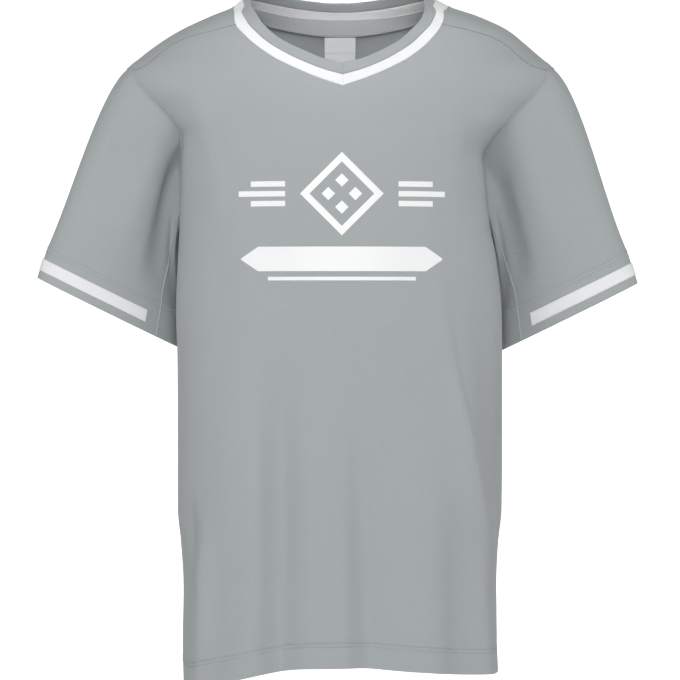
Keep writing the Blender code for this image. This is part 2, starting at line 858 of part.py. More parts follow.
def make_sleeve(name, sleeve, seam, material, group):
    steps, planes = seam
    for piece, columns_at in (
        ("sleeve_" + name, sleeve.main_columns),
        ("underarm_panel_" + name, sleeve.gusset_columns),
    ):
        outside, inside = [], []
        for i in range(SLEEVE_ROWS + 1):
            v = i / SLEEVE_ROWS
            ks = columns_at(v)
            line = [sleeve.point(k, v) for k in ks]
            outside.append(line)
            inside.append([p - sleeve.normal(k, v) * PANEL_WALL for p, k in zip(line, ks)])
        ks = columns_at(0)
        towards = []
        for j, k in enumerate(ks):
            n = int(math.floor(k + 1e-6))
            t = k - n
            a, b = n % sleeve.count, (n + 1) % sleeve.count
            inside[0][j] = outside[0][j] + steps[a].lerp(steps[b], t)
            towards.append(planes[a].lerp(planes[b], t))
        for j, k in enumerate(columns_at(1)):
            inside[-1][j] = outside[-1][j] + sleeve.cuff_seam_step(k, PANEL_WALL)
        rows, columns = len(outside), len(outside[0])
        edges = [border_cells(rows, columns, e) for e in ("start", "end", "top")]
        across = [inward_steps(outside, border) for border in edges]
        pulled_back(outside, inside, border_cells(rows, columns, "foot"), towards)
        for border, step in zip(edges, across):
            pulled_back(outside, inside, border, step)
        add_piece(piece, outside, inside, material, group)


def make_cuff(name, sleeve, grey, white, group):
    main = sleeve.main_columns(1)
    ks = main[:-1] + [k + sleeve.count for k in sleeve.gusset_columns(1)][:-1]
    length = (sleeve.cuff_point(0, 1) - sleeve.cuff_point(0, 0)).length
    start = SEAM_GAP / 2 / length
    levels = [start, STRIPE_TOP, STRIPE_FOOT, 1.0]
    outside = [[sleeve.cuff_point(k, v) for k in ks] for v in levels]
    normals = [[sleeve.cuff_normal(k, v) for k in ks] for v in levels]
    inside = wall_points(outside, normals, BAND_WALL)
    inside[0] = [p + sleeve.cuff_seam_step(k, BAND_WALL) for p, k in zip(outside[0], ks)]
    add_piece("cuff_" + name, outside, inside, grey, group, looped=True)

    ks = main[STRIPE_SHORT:len(main) - STRIPE_SHORT]
    levels = [STRIPE_TOP, STRIPE_FOOT]
    over = SEAM_GAP + TRIM_WALL
    skin = [[sleeve.cuff_point(k, v) + sleeve.cuff_normal(k, v) * over for k in ks] for v in levels]
    normals = [[sleeve.cuff_normal(k, v) for k in ks] for v in levels]
    add_piece("cuff_stripe_" + name, skin, wall_points(skin, normals, TRIM_WALL), white, group)


def neck_ring(edge):
    """The neck all round at one width across the collar, from the V through the right."""
    right_front, right_back = neck_half(1, edge)
    left_front, left_back = neck_half(-1, edge)
    right = right_front + right_back[1:]
    left = left_front + left_back[1:]
    return right[:-1] + [(math.pi, right[-1][1])] + left[:-1][::-1][:-1]


def make_collar(grey, white, group):
    edges = {"collar_stripe": (0.0, 0.5, white), "collar_band": (0.5, 1.0, grey)}
    rings = {edge: neck_ring(edge) for edge in (0.0, 0.5, 1.0)}
    for name, (low, high, material) in edges.items():
        outside, normals = [], []
        for edge in (low, high):
            places = [body_point(*p) for p in rings[edge]]
            directions = [body_normal(*p) for p in rings[edge]]
            outside.append([p + n * COLLAR_PROUD for p, n in zip(places, directions)])
            normals.append(directions)
        inside = wall_points(outside, normals, COLLAR_WALL)
        for i in (0, 1):
            if (name, i) == ("collar_band", 1):
                continue
            other = 1 - i
            for j, place in enumerate(outside[i]):
                step = (outside[other][j] - place).normalized() * (SEAM_GAP / 2)
                outside[i][j] = place + step
                inside[i][j] = inside[i][j] + step
        add_piece(name, outside, inside, material, group, looped=True)


def make_neck_tape_and_label(tape_cloth, label_cloth, group):
    ring = [p for p in neck_half(1, 0)[1] if p[0] > TAPE_TURN]
    other = [(t + 2 * math.pi, z) for t, z in neck_half(-1, 0)[1] if abs(t) > TAPE_TURN]
    top = ring + other[::-1][1:]
    outside, normals = [], []
    for down, under in TAPE_ROWS:
        line = [(t, down_surface(t, z, down)) for t, z in top]
        directions = [body_normal(*p) for p in line]
        sunk = PANEL_WALL + under
        outside.append([body_point(*p) - n * sunk for p, n in zip(line, directions)])
        normals.append(directions)
    add_piece("neck_tape", outside, wall_points(outside, normals, TRIM_WALL), tape_cloth, group)

    tape_foot, under = TAPE_ROWS[-1]
    label_top = down_surface(math.pi, COLLAR_BACK[-1][1], tape_foot + 2 * SEAM_GAP)
    outside, normals = [], []
    for i in range(LABEL_ROWS + 1):
        z = label_top - LABEL_HEIGHT * i / LABEL_ROWS
        line, directions = [], []
        for j in range(LABEL_COLUMNS + 1):
            x = LABEL_WIDTH * (j / LABEL_COLUMNS - 0.5)
            turn = turn_from_width(x, z, -1.0)
            normal = plain_body_normal(turn, z)
            sunk = PANEL_WALL + under + LABEL_LEAN * i / LABEL_ROWS
            line.append(plain_body_point(turn, z) - normal * sunk)
            directions.append(normal)
        outside.append(line)
        normals.append(directions)
    add_piece("neck_label", outside, wall_points(outside, normals, TRIM_WALL), label_cloth, group)


main()
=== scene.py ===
# A short-sleeved V-neck baseball jersey, filled out with nothing inside: its cloth, seams,
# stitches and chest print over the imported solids. Lengths are millimetres until a mesh is made.

import math

import bpy
import numpy as np
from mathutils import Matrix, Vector


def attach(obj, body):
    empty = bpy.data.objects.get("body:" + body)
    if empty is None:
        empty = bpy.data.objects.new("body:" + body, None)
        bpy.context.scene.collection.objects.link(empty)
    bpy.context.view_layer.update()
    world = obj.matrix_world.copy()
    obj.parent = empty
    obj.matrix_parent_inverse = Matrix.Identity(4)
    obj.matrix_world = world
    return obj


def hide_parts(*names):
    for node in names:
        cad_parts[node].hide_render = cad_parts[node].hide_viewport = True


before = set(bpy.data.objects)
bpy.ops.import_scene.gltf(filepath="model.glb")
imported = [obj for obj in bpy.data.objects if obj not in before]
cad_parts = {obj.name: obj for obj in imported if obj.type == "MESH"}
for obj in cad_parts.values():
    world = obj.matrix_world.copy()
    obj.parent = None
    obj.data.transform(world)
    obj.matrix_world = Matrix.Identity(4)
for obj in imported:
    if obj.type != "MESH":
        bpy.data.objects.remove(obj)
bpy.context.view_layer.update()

detail = 5  # fine cells along each cell of the plain layout
millimetre = 0.001


# Camera, floor and light

studio = {
    "distance": 3.0, "centreHeight": -0.2688, "sensor": 36.0,
    "seenWidth": 0.5712,  # the picture's width at the jersey's middle
    "floorHeight": -1.3, "floorSize": 10.0,
    "backdropAt": 4.0, "backdropHalfWidth": 2.2, "backdropHeight": 3.6, "backdropGlow": 0.85,
    "worldStrength": 0.14,
    "softboxes": [  # name, place, size, power
        ("keySoftbox", (-2.1, -2.0, 0.6), 1.3, 16.5),
        ("fillSoftbox", (2.1, -2.0, 0.4), 1.6, 8.5),
        ("frontSoftbox", (0.0, -3.4, 0.5), 1.2, 44.0),
        ("topSoftbox", (0.0, -1.7, 1.6), 1.2, 12.0),
        ("rightSoftbox", (2.9, 0.1, 0.2), 1.6, 21.0),
        ("leftSoftbox", (-2.9, 0.1, 0.2), 1.6, 14.0),
        ("neckSoftbox", (0.0, -0.75, 0.45), 0.10, 0.026, -0.01, 20),  # aim's height, spread
    ],
}


def linear(hexColour):
    channels = [int(hexColour[i:i + 2], 16) / 255 for i in (1, 3, 5)]
    bright = [c / 12.92 if c <= 0.04045 else ((c + 0.055) / 1.055) ** 2.4 for c in channels]
    return (*bright, 1.0)


def addNode(tree, kind, settings=None):
    # a setting is a value, a node whose first output is linked, or one output of a node
    node = tree.nodes.new(kind)
    for name, value in (settings or {}).items():
        if isinstance(value, bpy.types.Node):
            value = value.outputs[0]
        if isinstance(value, bpy.types.NodeSocket):
            tree.links.new(value, node.inputs[name])
        elif isinstance(name, str) and name in node.bl_rna.properties:
            setattr(node, name, value)
        else:
            node.inputs[name].default_value = value
    return node


def addLight(name, place, size, power, aimHeight=studio["centreHeight"], spread=180):
    lamp = bpy.data.lights.new(name, "AREA")
    lamp.size = size
    lamp.spread = math.radians(spread)
    lamp.energy = power
    light = bpy.data.objects.new(name, lamp)
    light.location = place
    aim = Vector((0, 0, aimHeight)) - light.location
    light.rotation_euler = aim.to_track_quat("-Z", "Y").to_euler()
    bpy.context.scene.collection.objects.link(light)


def buildStudio():
    scene = bpy.context.scene
    lens = bpy.data.cameras.new("camera")
    lens.sensor_width = studio["sensor"]
    lens.lens = studio["sensor"] * studio["distance"] / studio["seenWidth"]
    camera = bpy.data.objects.new("camera", lens)
    camera.location = (0, -studio["distance"], studio["centreHeight"])
    camera.rotation_euler = (math.radians(90), 0, 0)
    scene.collection.objects.link(camera)
    scene.camera = camera
    scene.view_settings.view_transform = "Standard"

    for softbox in studio["softboxes"]:
        addLight(*softbox)
    world = bpy.data.worlds.new("softRoom")
    world.use_nodes = True
    world.node_tree.nodes["Background"].inputs["Color"].default_value = (1, 1, 1, 1)
    world.node_tree.nodes["Background"].inputs["Strength"].default_value = studio["worldStrength"]
    scene.world = world

    low, back, half = studio["floorHeight"], studio["backdropAt"], studio["floorSize"] / 2
    addStage("studioFloor", "#E9E9E8", 0.0, [
        (-half, -half, low), (half, -half, low), (half, half, low), (-half, half, low)])
    half, high = studio["backdropHalfWidth"], low + studio["backdropHeight"]
    addStage("backdrop", "#F7F7F7", studio["backdropGlow"], [
        (-half, back, low), (half, back, low), (half, back, high), (-half, back, high)])


def addStage(name, hexColour, glow, corners):
    # pale card for the floor, and white acrylic lit from behind for the backdrop
    material = bpy.data.materials.new(name + "Card")
    material.use_nodes = True
    shader = material.node_tree.nodes["Principled BSDF"]
    shader.inputs["Base Color"].default_value = linear(hexColour)
    shader.inputs["Roughness"].default_value = 0.8
    shader.inputs["Emission Color"].default_value = (1, 1, 1, 1)
    shader.inputs["Emission Strength"].default_value = glow
    mesh = bpy.data.meshes.new(name)
    mesh.from_pydata(corners, [], [(0, 1, 2, 3)])
    mesh.materials.append(material)
    card = bpy.data.objects.new(name, mesh)
    bpy.context.scene.collection.objects.link(card)


buildStudio()
print("studio ready")


# Cloth and thread, read from each piece's own UV map in millimetres

def newMaterial(name):
    material = bpy.data.materials.new(name)
    material.use_nodes = True
    return material, material.node_tree, material.node_tree.nodes["Principled BSDF"]


def calculate(tree, operation, *values):
    return addNode(tree, "ShaderNodeMath", {"operation": operation, **dict(enumerate(values))})


def clothWave(tree, coordinate, pitch):
    # one thread or wale to each pitch, in millimetres
    return calculate(tree, "SINE", calculate(tree, "MULTIPLY", coordinate, 2 * math.pi / pitch))


def uvParts(tree):
    uv = addNode(tree, "ShaderNodeUVMap", {"uv_map": "clothUv"})
    parts = addNode(tree, "ShaderNodeSeparateXYZ", {0: uv})
    return parts.outputs[0], parts.outputs[1]


def finished(made, colour, relief, values):
    # colour is a colour or an output, and relief the bump's settings
    material, tree, shader = made
    bump = addNode(tree, "ShaderNodeBump", relief)
    tree.links.new(bump.outputs[0], shader.inputs["Normal"])
    if isinstance(colour, tuple):
        shader.inputs["Base Color"].default_value = colour
    else:
        tree.links.new(colour, shader.inputs["Base Color"])
    for name, value in values.items():
        shader.inputs[name].default_value = value
    return material


def clothFinish(made, finish, height, shade):
    # height drives the bump and shade darkens the colour, both from 0 to 1
    tree = made[1]
    place = addNode(tree, "ShaderNodeTexCoord").outputs["Object"]
    cloud = addNode(tree, "ShaderNodeTexNoise",
                    {"Scale": finish["cloudScale"], "Detail": 3.0, "Vector": place})
    tone = addNode(tree, "ShaderNodeMix", {
        "data_type": "RGBA", 0: cloud, 6: linear(finish["colour"]), 7: linear(finish["faded"])})
    colour = addNode(tree, "ShaderNodeMix", {
        "data_type": "RGBA", 0: calculate(tree, "MULTIPLY", shade, finish["holeShade"]),
        6: tone.outputs[2], 7: linear(finish["shadow"])})
    fuzz = addNode(tree, "ShaderNodeTexNoise", {"Scale": 2400.0, "Detail": 2.0, "Vector": place})
    relief = calculate(tree, "MULTIPLY_ADD", fuzz, finish["fuzz"], height)
    return finished(
        made, colour.outputs[2], {"Strength": finish["bump"], "Distance": 0.0003, "Height": relief},
        {"Roughness": finish["roughness"], "IOR": 1.54, "Specular IOR Level": finish["gloss"],
         "Sheen Weight": finish["sheen"], "Sheen Roughness": 0.5})


def polyesterMesh(name, finish):
    # warp-knitted polyester, matt, with small eyelets in a grid on the bias
    made = newMaterial(name)
    tree = made[1]
    across, along = uvParts(tree)
    rising, falling = (
        clothWave(tree, calculate(tree, way, across, along), finish["eyeletPitch"])
        for way in ("ADD", "SUBTRACT")
    )
    hole = addNode(tree, "ShaderNodeMapRange", {
        "interpolation_type": "SMOOTHSTEP", "From Min": 0.25, "From Max": 0.8,
        "Value": calculate(tree, "MULTIPLY", rising, falling)})
    return clothFinish(made, finish, calculate(tree, "SUBTRACT", 1.0, hole), hole)


def flatKnit(name, finish):
    # flat-bed knit with fine wales across the band, softer and closer than the mesh
    made = newMaterial(name)
    tree = made[1]
    across, along = uvParts(tree)
    courses = calculate(
        tree, "MULTIPLY", clothWave(tree, along, finish["coursePitch"]), finish["courseShare"])
    ribs = calculate(tree, "ADD", clothWave(tree, across, finish["walePitch"]), courses)
    height = addNode(tree, "ShaderNodeMapRange",
                     {"From Min": -1.4, "From Max": 1.4, "Value": ribs})
    return clothFinish(made, finish, height, calculate(tree, "SUBTRACT", 1.0, height))


greyTone = {"colour": "#A6ABAC", "faded": "#A9AEAF", "shadow": "#7F8485"}
eyelets = {"eyeletPitch": 3.6, "fuzz": 0.2, "sheen": 0.10}  # real ones are about 1.2 mm apart
wales = {"walePitch": 1.3, "coursePitch": 1.6, "courseShare": 0.4, "cloudScale": 14.0, "fuzz": 0.2}
meshCloth = polyesterMesh("greyPolyesterMesh", {
    **greyTone, **eyelets, "cloudScale": 9.0, "holeShade": 0.26, "bump": 0.22,
    "roughness": 0.72, "gloss": 0.30})
greyKnit = flatKnit("greyFlatKnit", {
    **greyTone, **wales, "holeShade": 0.18, "bump": 0.25, "roughness": 0.8, "gloss": 0.22,
    "sheen": 0.15})
cuffCloth = polyesterMesh("greyCuffMesh", {
    **greyTone, **eyelets, "cloudScale": 12.0, "holeShade": 0.10, "bump": 0.14,
    "roughness": 0.74, "gloss": 0.28})
whiteKnit = flatKnit("whiteFlatKnit", {
    "colour": "#EDEFF0", "faded": "#F1F2F3", "shadow": "#C9CCCD", **wales, "holeShade": 0.12,
    "bump": 0.22, "roughness": 0.75, "gloss": 0.25, "sheen": 0.12})
# painted light: the tape's colours are lighter than the body's grey so that it stays bright in the
# shade inside the back neck
lightenedTapeTwill = flatKnit("greyTwillTapePaintedLight", {
    "colour": "#C3C7C8", "faded": "#C6CACB", "shadow": "#8F9495", "walePitch": 1.1,
    "coursePitch": 1.1, "courseShare": 0.9, "cloudScale": 20.0, "holeShade": 0.25,
    "fuzz": 0.15, "bump": 0.3, "roughness": 0.7, "gloss": 0.3, "sheen": 0.1})
wovenLabel = flatKnit("whiteSatinLabel", {
    "colour": "#F1F2F3", "faded": "#F4F5F5", "shadow": "#C4C7C8", "walePitch": 0.8,
    "coursePitch": 1.2, "courseShare": 0.5, "cloudScale": 40.0, "holeShade": 0.15,
    "fuzz": 0.1, "bump": 0.15, "roughness": 0.5, "gloss": 0.4, "sheen": 0.0})


def plainThread(name, hexColour):
    # spun polyester sewing thread, slightly lustrous
    made = newMaterial(name)
    place = addNode(made[1], "ShaderNodeTexCoord").outputs["Object"]
    twist = addNode(made[1], "ShaderNodeTexWave",
                    {"bands_direction": "DIAGONAL", "Scale": 900.0, "Vector": place})
    relief = {"Strength": 0.3, "Distance": 0.0001, "Height": twist.outputs["Fac"]}
    return finished(made, linear(hexColour), relief, {"Roughness": 0.55, "IOR": 1.54})


def screenInk(name, hexColour, pitches):
    # plastisol screen-print ink: a thin satin film that the cloth's mesh shows through
    made = newMaterial(name)
    waves = [clothWave(made[1], *pair) for pair in zip(uvParts(made[1]), pitches)]
    relief = {"Strength": 0.12, "Distance": 0.0002,
              "Height": calculate(made[1], "MULTIPLY", *waves)}
    return finished(made, linear(hexColour), relief, {"Roughness": 0.42, "IOR": 1.5})


greyThread = plainThread("greyPolyesterThread", "#A9AEAF")
# painted shade: the shoulder seam's stitches take a darker grey thread, which paints the thin shadow
# line of the seam's fold
seamShadowThread = plainThread("paintedSeamShadowThread", "#8B9091")
whiteThread = plainThread("whitePolyesterThread", "#F2F3F4")
whiteInk = screenInk("whitePlastisolInk", "#F4F5F6", (3.0, 3.4))
print("materials ready")


# The body's form, from level sections, with its folds

body = {
    "sections": [  # z, half width left, right, depth front, back, squareness
        (26, 72, 71, 34, 59, 2.1), (16, 83, 82, 46, 63, 2.1), (10, 91, 94, 53, 66, 2.1),
        (3, 108, 115, 58, 69, 2.1), (-9, 134, 141, 64, 74, 2.05), (-20, 152, 155, 69, 79, 1.95),
        (-32, 168, 169, 74, 84, 1.85), (-41, 178, 179, 78, 87, 1.82),
        (-52, 180, 181, 82, 90, 1.82), (-64, 173, 174, 86, 93, 1.9),
        (-76, 160, 160, 90, 96, 2.0), (-88, 146, 145, 94, 98, 2.2),
        (-100, 135, 131, 97, 100, 2.45), (-118, 133.6, 121, 100, 102, 2.55),
        (-145, 133.8, 122.5, 103, 104, 2.5), (-172, 134.5, 125.5, 105, 105, 2.45),
        (-203, 136, 131.5, 106, 106, 2.4), (-245, 137.6, 135.7, 107, 107, 2.4),
        (-285, 136.3, 136.2, 107, 107, 2.4), (-345, 136, 136.2, 107, 107, 2.4),
        (-410, 136, 135.8, 107, 106, 2.4), (-440, 133.3, 132.7, 107, 105, 2.4),
        (-475, 131.3, 131, 106, 105, 2.4), (-520, 132, 131, 106, 105, 2.4),
        (-566, 129, 132, 105, 104, 2.4),
    ],
    "hemHeights": [  # turn from the middle of the front in degrees, z
        (-180, -546), (-140, -549), (-95, -551), (-79, -554), (-62, -555.5), (-48, -551),
        (-38, -546.5), (-25, -540), (-10, -535.5), (1, -535), (28, -539), (50, -543.4),
        (79, -545), (95, -545), (140, -547), (180, -546),
    ],
    "folds": [  # face, x top, z top, x foot, z foot, half width, height, fades at the foot
        ("front", 94, -285, 131, -485, 11, 4.5, True),
        ("front", 109, -415, 123, -570, 10, 4.5, False),
        ("front", -106, -405, -120, -570, 10, 5.0, False),
        ("front", -124, -390, -127, -500, 7, -3.0, True),
        ("front", -50, -240, -53, -570, 17, -4.5, False),
        ("front", -16, -300, -17, -570, 15, 3.0, False),
        ("front", 4, -310, 23, -570, 14, -3.5, False),
        ("front", 62, -320, 70, -570, 18, 3.5, False),
        ("front", 96, -390, 98, -570, 12, -3.5, False),
        ("front", -85, -250, -85, -570, 18, 3.5, False),
        ("front", -138, -55, -126, -125, 13, -2.0, True),
        ("front", 118, -50, 112, -135, 13, -2.5, True),
        ("back", -96, -280, -124, -500, 12, 4.0, True),
        ("back", 104, -380, 118, -570, 11, 4.5, False),
        ("back", -62, -230, -70, -570, 18, -4.5, False),
        ("back", -24, -300, -28, -570, 16, 3.0, False),
        ("back", 12, -260, 20, -570, 17, -4.0, False),
        ("back", 60, -310, 66, -570, 18, 3.5, False),
        ("back", -112, -60, -104, -190, 12, -3.0, True),
        ("back", 110, -60, 102, -200, 12, -3.0, True),
        ("back", 38, -60, 24, -220, 16, -2.5, True),
    ],
    "creases": [  # face, x top, z top, x foot, z foot, sideways bow, width left, right, height
        ("front", 78, -190, 131, -505, -2, 12, 4, 3.2),
        ("front", 108, -190, 146, -505, 3, 13, 12, -5.0),
        ("front", 112, -425, 124, -640, 0, 8, 5, 3.0),
        ("front", -112, -400, -115, -620, 3, 4, 8, 2.6),
        ("front", -123, -380, -126, -540, 0, 7, 4, -3.0),
        ("front", -66, -250, -68, -640, 0, 12, 8, 4.6),
        ("front", -46, -240, -50, -640, 2, 9, 12, -3.4),
        ("front", 3, -270, 4, -640, 0, 16, 9, 4.2),
        ("front", 18, -330, 30, -640, 0, 9, 13, -2.5),
        ("front", 80, -330, 84, -640, 0, 12, 9, 1.4),
        ("front", 100, -390, 104, -640, 0, 9, 12, -1.0),
        ("front", 88, -120, 96, -330, 4, 13, 13, -1.4),
        ("front", -92, -130, -98, -350, -4, 14, 14, -1.3),
        ("front", -118, -70, -100, -190, 6, 9, 7, 1.2),
        ("front", 108, -70, 98, -180, -5, 9, 7, 1.0),
        ("front", -70, -40, -108, -96, -6, 8, 8, -1.0),
        ("front", 74, -40, 108, -92, 6, 8, 8, -1.0),
        ("front", 0, -60, -8, -130, 2, 10, 10, 0.7),
        ("back", -104, -290, -126, -500, -3, 5, 7, -1.8),
        ("back", 112, -300, 124, -500, 3, 7, 5, -1.6),
        ("back", -84, -100, -92, -330, 4, 12, 12, 1.3),
        ("back", 86, -110, 94, -300, -4, 12, 12, 1.2),
        ("back", -40, -60, -56, -200, 4, 9, 9, 1.0), ("back", 0, -330, 6, -620, 3, 7, 10, 1.6),
        ("back", 30, -300, 34, -620, 2, 10, 8, -1.5),
        ("back", -46, -380, -50, -620, -3, 9, 7, 1.3),
    ],
    "armholeFront": [  # z, y from the shoulder seam to the underarm
        (-44, -18), (-61, -28), (-76, -31), (-89, -29), (-101, -20), (-118, -7), (-140, -3.5),
        (-158, 0.5), (-168, 4.5),
    ],
    "armholeBack": [
        (-42.2, -10), (-41.5, 2), (-52, 22), (-76, 42), (-100, 48), (-125, 42), (-148, 32),
        (-161, 24), (-169, 16.5),
    ],
    "shoulderSeam": [  # z, left x, right x, from the armhole to the neck
        (-39.8, -160.5, 157), (-26.5, -144.7, 141), (-18, -127.5, 126.5), (-12.5, -104, 106),
    ],
    "sideSeamTurn": math.radians(95),
    "underarm": -172,
    "sideRows": 13, "frontArmRows": 10, "backArmRows": 14, "shoulderColumns": 5,
    "neckColumns": 10, "backNeckColumns": 14,
    "easingRounds": 160, "turnLength": 110,  # the length of one radian when a layout is eased
    "wall": 0.9, "hemWall": 1.8, "hemDepth": 21, "hemFades": (-0.5, 3), "hemStep": 0.35,
    "hemStepWidth": 3.0,
}

collar = {
    "front": [  # outer left x, outer right x, outer z, inner left x, inner right x, inner z
        (-16.1, 19.9, -54.9, -14.0, 18.0, -37.8),
        (-36.3, 40.0, -46.3, -29.6, 33.2, -31.0),
        (-63.4, 65.1, -30.7, -49.5, 50.5, -20.6),
        (-78.6, 78.1, -17.4, -62.3, 62.4, -8.9),
        (-86.5, 84.2, -8.2, -69.4, 69.1, 2.4),
        (-87.7, 86.3, -0.3, -73.7, 69.7, 10.0),
        (-88.7, 87.7, 5.6, -75.2, 71.6, 16.7),
    ],
    "seamRow": 5,  # the shoulder seam meets the neck at this row, counted from 1
    "back": [  # turn in degrees, outer z, inner z
        (90, 12.8, 25.5), (125, 12.2, 25.3), (155, 7.3, 22.1), (172, 5.0, 20.2),
        (180, 4.9, 20.1),
    ],
    "pointX": 2.1, "pointOuter": -61.1, "pointInner": -41.8,
    "proud": 0.4, "wall": 2.0, "round": 0.7, "section": (0.1, 10.0), "seam": 0.012,
    "mitre": (0, 0.0006, 0.0012, 0.002, 0.0035, 0.006),  # places close together at the V
    "groove": 0.45, "grooveWidth": 0.0012, "grooveDepth": -0.8,
    "points": 90, "radian": 60,  # millimetres of height that count as one radian
}


def smoothStep(low, high, value):
    t = np.clip((value - low) / (high - low), 0, 1)
    return t * t * (3 - 2 * t)


def unit(vectors):
    return vectors / np.maximum(np.linalg.norm(vectors, axis=-1, keepdims=True), 1e-9)


def runAlong(points):
    return np.concatenate([[0], np.cumsum(np.linalg.norm(np.diff(points, axis=0), axis=1))])


def runRound(points):
    return runAlong(np.vstack([points, points[:1]]))


def hermite(start, leave, end, arrive, t):
    return (start * (2 * t**3 - 3 * t**2 + 1) + leave * (t**3 - 2 * t**2 + t)
            + end * (3 * t**2 - 2 * t**3) + arrive * (t**3 - t**2))


def between(a, b, c, d, t):
    # from b to c on the smooth curve through all four
    return 0.5 * (2 * b + (c - a) * t + (2 * a - 5 * b + 4 * c - d) * t * t
                  + (3 * b - a - 3 * c + d) * t**3)


def tableReader(rows, column):
    # a smooth reading between a table's rows, which never overshoots them
    ordered = sorted(rows, key=lambda row: row[0])
    keys, values = np.array([(row[0], row[column]) for row in ordered], float).T
    steps = np.diff(values) / np.diff(keys)
    slopes = np.concatenate([steps[:1], np.zeros(len(keys) - 2), steps[-1:]])
    before, after = steps[:-1], steps[1:]
    same = before * after > 0
    slopes[1:-1][same] = (2 * before * after / np.where(same, before + after, 1))[same]

    def read(key):
        key = np.clip(key, keys[0], keys[-1])
        i = np.clip(np.searchsorted(keys, key, "right") - 1, 0, len(keys) - 2)
        span = keys[i + 1] - keys[i]
        return hermite(values[i], span * slopes[i], values[i + 1], span * slopes[i + 1],
                       (key - keys[i]) / span)

    return read


leftHalf, rightHalf, frontDepth, backDepth, squareness = (
    tableReader(body["sections"], column) for column in range(1, 6)
)
hemHeight = tableReader(body["hemHeights"], 1)


def hemUnder(turn):
    return hemHeight(np.degrees((turn + math.pi) % (2 * math.pi) - math.pi))


def plainBody(turn, z):
    turn, z = np.broadcast_arrays(np.asarray(turn, float), np.asarray(z, float))
    across, along = np.sin(turn), np.cos(turn)
    width = np.where(across < 0, leftHalf(z), rightHalf(z))
    depth = np.where(along > 0, frontDepth(z), backDepth(z))
    power = squareness(z)
    reach = (np.abs(across) ** power + np.abs(along) ** power) ** (-1 / power)
    return np.stack([width * reach * across, -depth * reach * along, z], -1)


def bodyNormal(turn, z, surface=None):
    surface = surface or bodyPoint
    around = surface(turn + 0.02, z) - surface(turn - 0.02, z)
    up = surface(turn, z + 2) - surface(turn, z - 2)
    return unit(np.cross(around, up))


def bodyPoint(turn, z):
    at = plainBody(turn, z)
    x, y, height = at[..., 0], at[..., 1], at[..., 2]
    onFront = y < 0
    total = np.zeros_like(x)
    for face, xTop, zTop, xFoot, zFoot, halfWidth, rise, fades in body["folds"]:
        t = (zTop - height) / (zTop - zFoot)
        shown = (t >= 0) & (t <= 1) & (onFront == (face == "front"))
        strength = smoothStep(0, 0.35, t) * (1 - smoothStep(0.65, 1, t) if fades else 1)
        off = (x - (xTop + (xFoot - xTop) * t)) / halfWidth
        total += np.where(shown, rise * strength * np.exp(-off * off), 0)
    for face, xTop, zTop, xFoot, zFoot, bow, leftWidth, rightWidth, rise in body["creases"]:
        t = np.clip((zTop - height) / (zTop - zFoot), 0, 1)
        shown = onFront == (face == "front")
        strength = smoothStep(0, 0.4, t) * (1 - smoothStep(0.7, 1, t))
        centre = xTop + (xFoot - xTop) * t + bow * np.sin(math.pi * t)
        off = (x - centre) / (np.where(x < centre, leftWidth, rightWidth) * (0.8 + 0.5 * t))
        total += np.where(shown, rise * strength * np.exp(-off * off), 0)
    total = total * smoothStep(0, 25, np.abs(y))
    return at + bodyNormal(turn, z, plainBody) * total[..., None]


def onBody(turn, z, out):
    # points moved out from the body's form
    return bodyPoint(turn, z) + bodyNormal(turn, z) * np.asarray(out)[..., None]


def turnFromDepth(side, y, z):
    depth = np.where(y < 0, frontDepth(z), backDepth(z))
    along = np.abs(y) / depth
    across = (1 - along ** squareness(z)) ** (1 / squareness(z))
    return side * np.arctan2(across, np.where(y > 0, -along, along))


def turnFromWidth(x, z, facing=1.0):
    width = np.where(x < 0, leftHalf(z), rightHalf(z))
    across = np.minimum(np.abs(x) / width, 1.0)
    along = (1 - across ** squareness(z)) ** (1 / squareness(z))
    return np.copysign(np.arctan2(across, facing * along), x)


def curvePoints(knots, count):
    # count + 1 evenly spaced points on a smooth curve through knots of turn and z
    knots = np.array(knots, float)
    ends = np.concatenate([knots[:1], knots, knots[-1:]])
    t = np.linspace(0, 1, 12, endpoint=False)[:, None]
    pieces = [between(*ends[n:n + 4], t) for n in range(len(knots) - 1)]
    turn, z = np.concatenate(pieces + [knots[-1:]]).T
    run = runAlong(bodyPoint(turn, z))
    goals = np.linspace(0, run[-1], count + 1)
    return np.stack([np.interp(goals, run, turn), np.interp(goals, run, z)], -1)


def sideSeam(side):
    turn = side * body["sideSeamTurn"]
    heights = np.linspace(hemUnder(turn), body["underarm"], body["sideRows"] * detail + 1)
    return np.stack([np.full_like(heights, turn), heights], -1)


def armholeCourses(side):
    # from the underarm up to the shoulder seam, before and behind the arm
    underarm = (side * body["sideSeamTurn"], body["underarm"])
    front, back = ([(turnFromDepth(side, y, z), z) for z, y in body[name]]
                   for name in ("armholeFront", "armholeBack"))
    before = curvePoints([underarm] + front[::-1], body["frontArmRows"] * detail)
    behind = curvePoints([underarm] + back[::-1] + [front[0]], body["backArmRows"] * detail)
    return before, behind


def collarKnots(side, edge):
    z = collar["pointOuter"] + (collar["pointInner"] - collar["pointOuter"]) * edge
    knots = [(float(turnFromWidth(collar["pointX"], z)), z)]
    for row in collar["front"]:
        outer, inner = (np.array([turnFromWidth(row[n + (side > 0)], row[n + 2]), row[n + 2]])
                        for n in (0, 3))
        knots.append(tuple(outer + (inner - outer) * edge))
    for turn, outerZ, innerZ in collar["back"]:
        knots.append((side * math.radians(turn), outerZ + (innerZ - outerZ) * edge))
    return knots


def neckHalf(side, edge):
    # from the V to the shoulder seam, and on to the middle of the back
    knots = collarKnots(side, edge)
    joint = np.array(knots[collar["seamRow"]])
    smooth = curvePoints(knots, collar["points"])
    split = int(np.argmin(((smooth - joint) ** 2 / (1, collar["radian"] ** 2)).sum(1)))
    front = curvePoints(np.vstack([smooth[:split], joint]), body["neckColumns"] * detail)
    back = curvePoints(np.vstack([joint, smooth[split + 1:]]), body["backNeckColumns"] * detail)
    return front, back


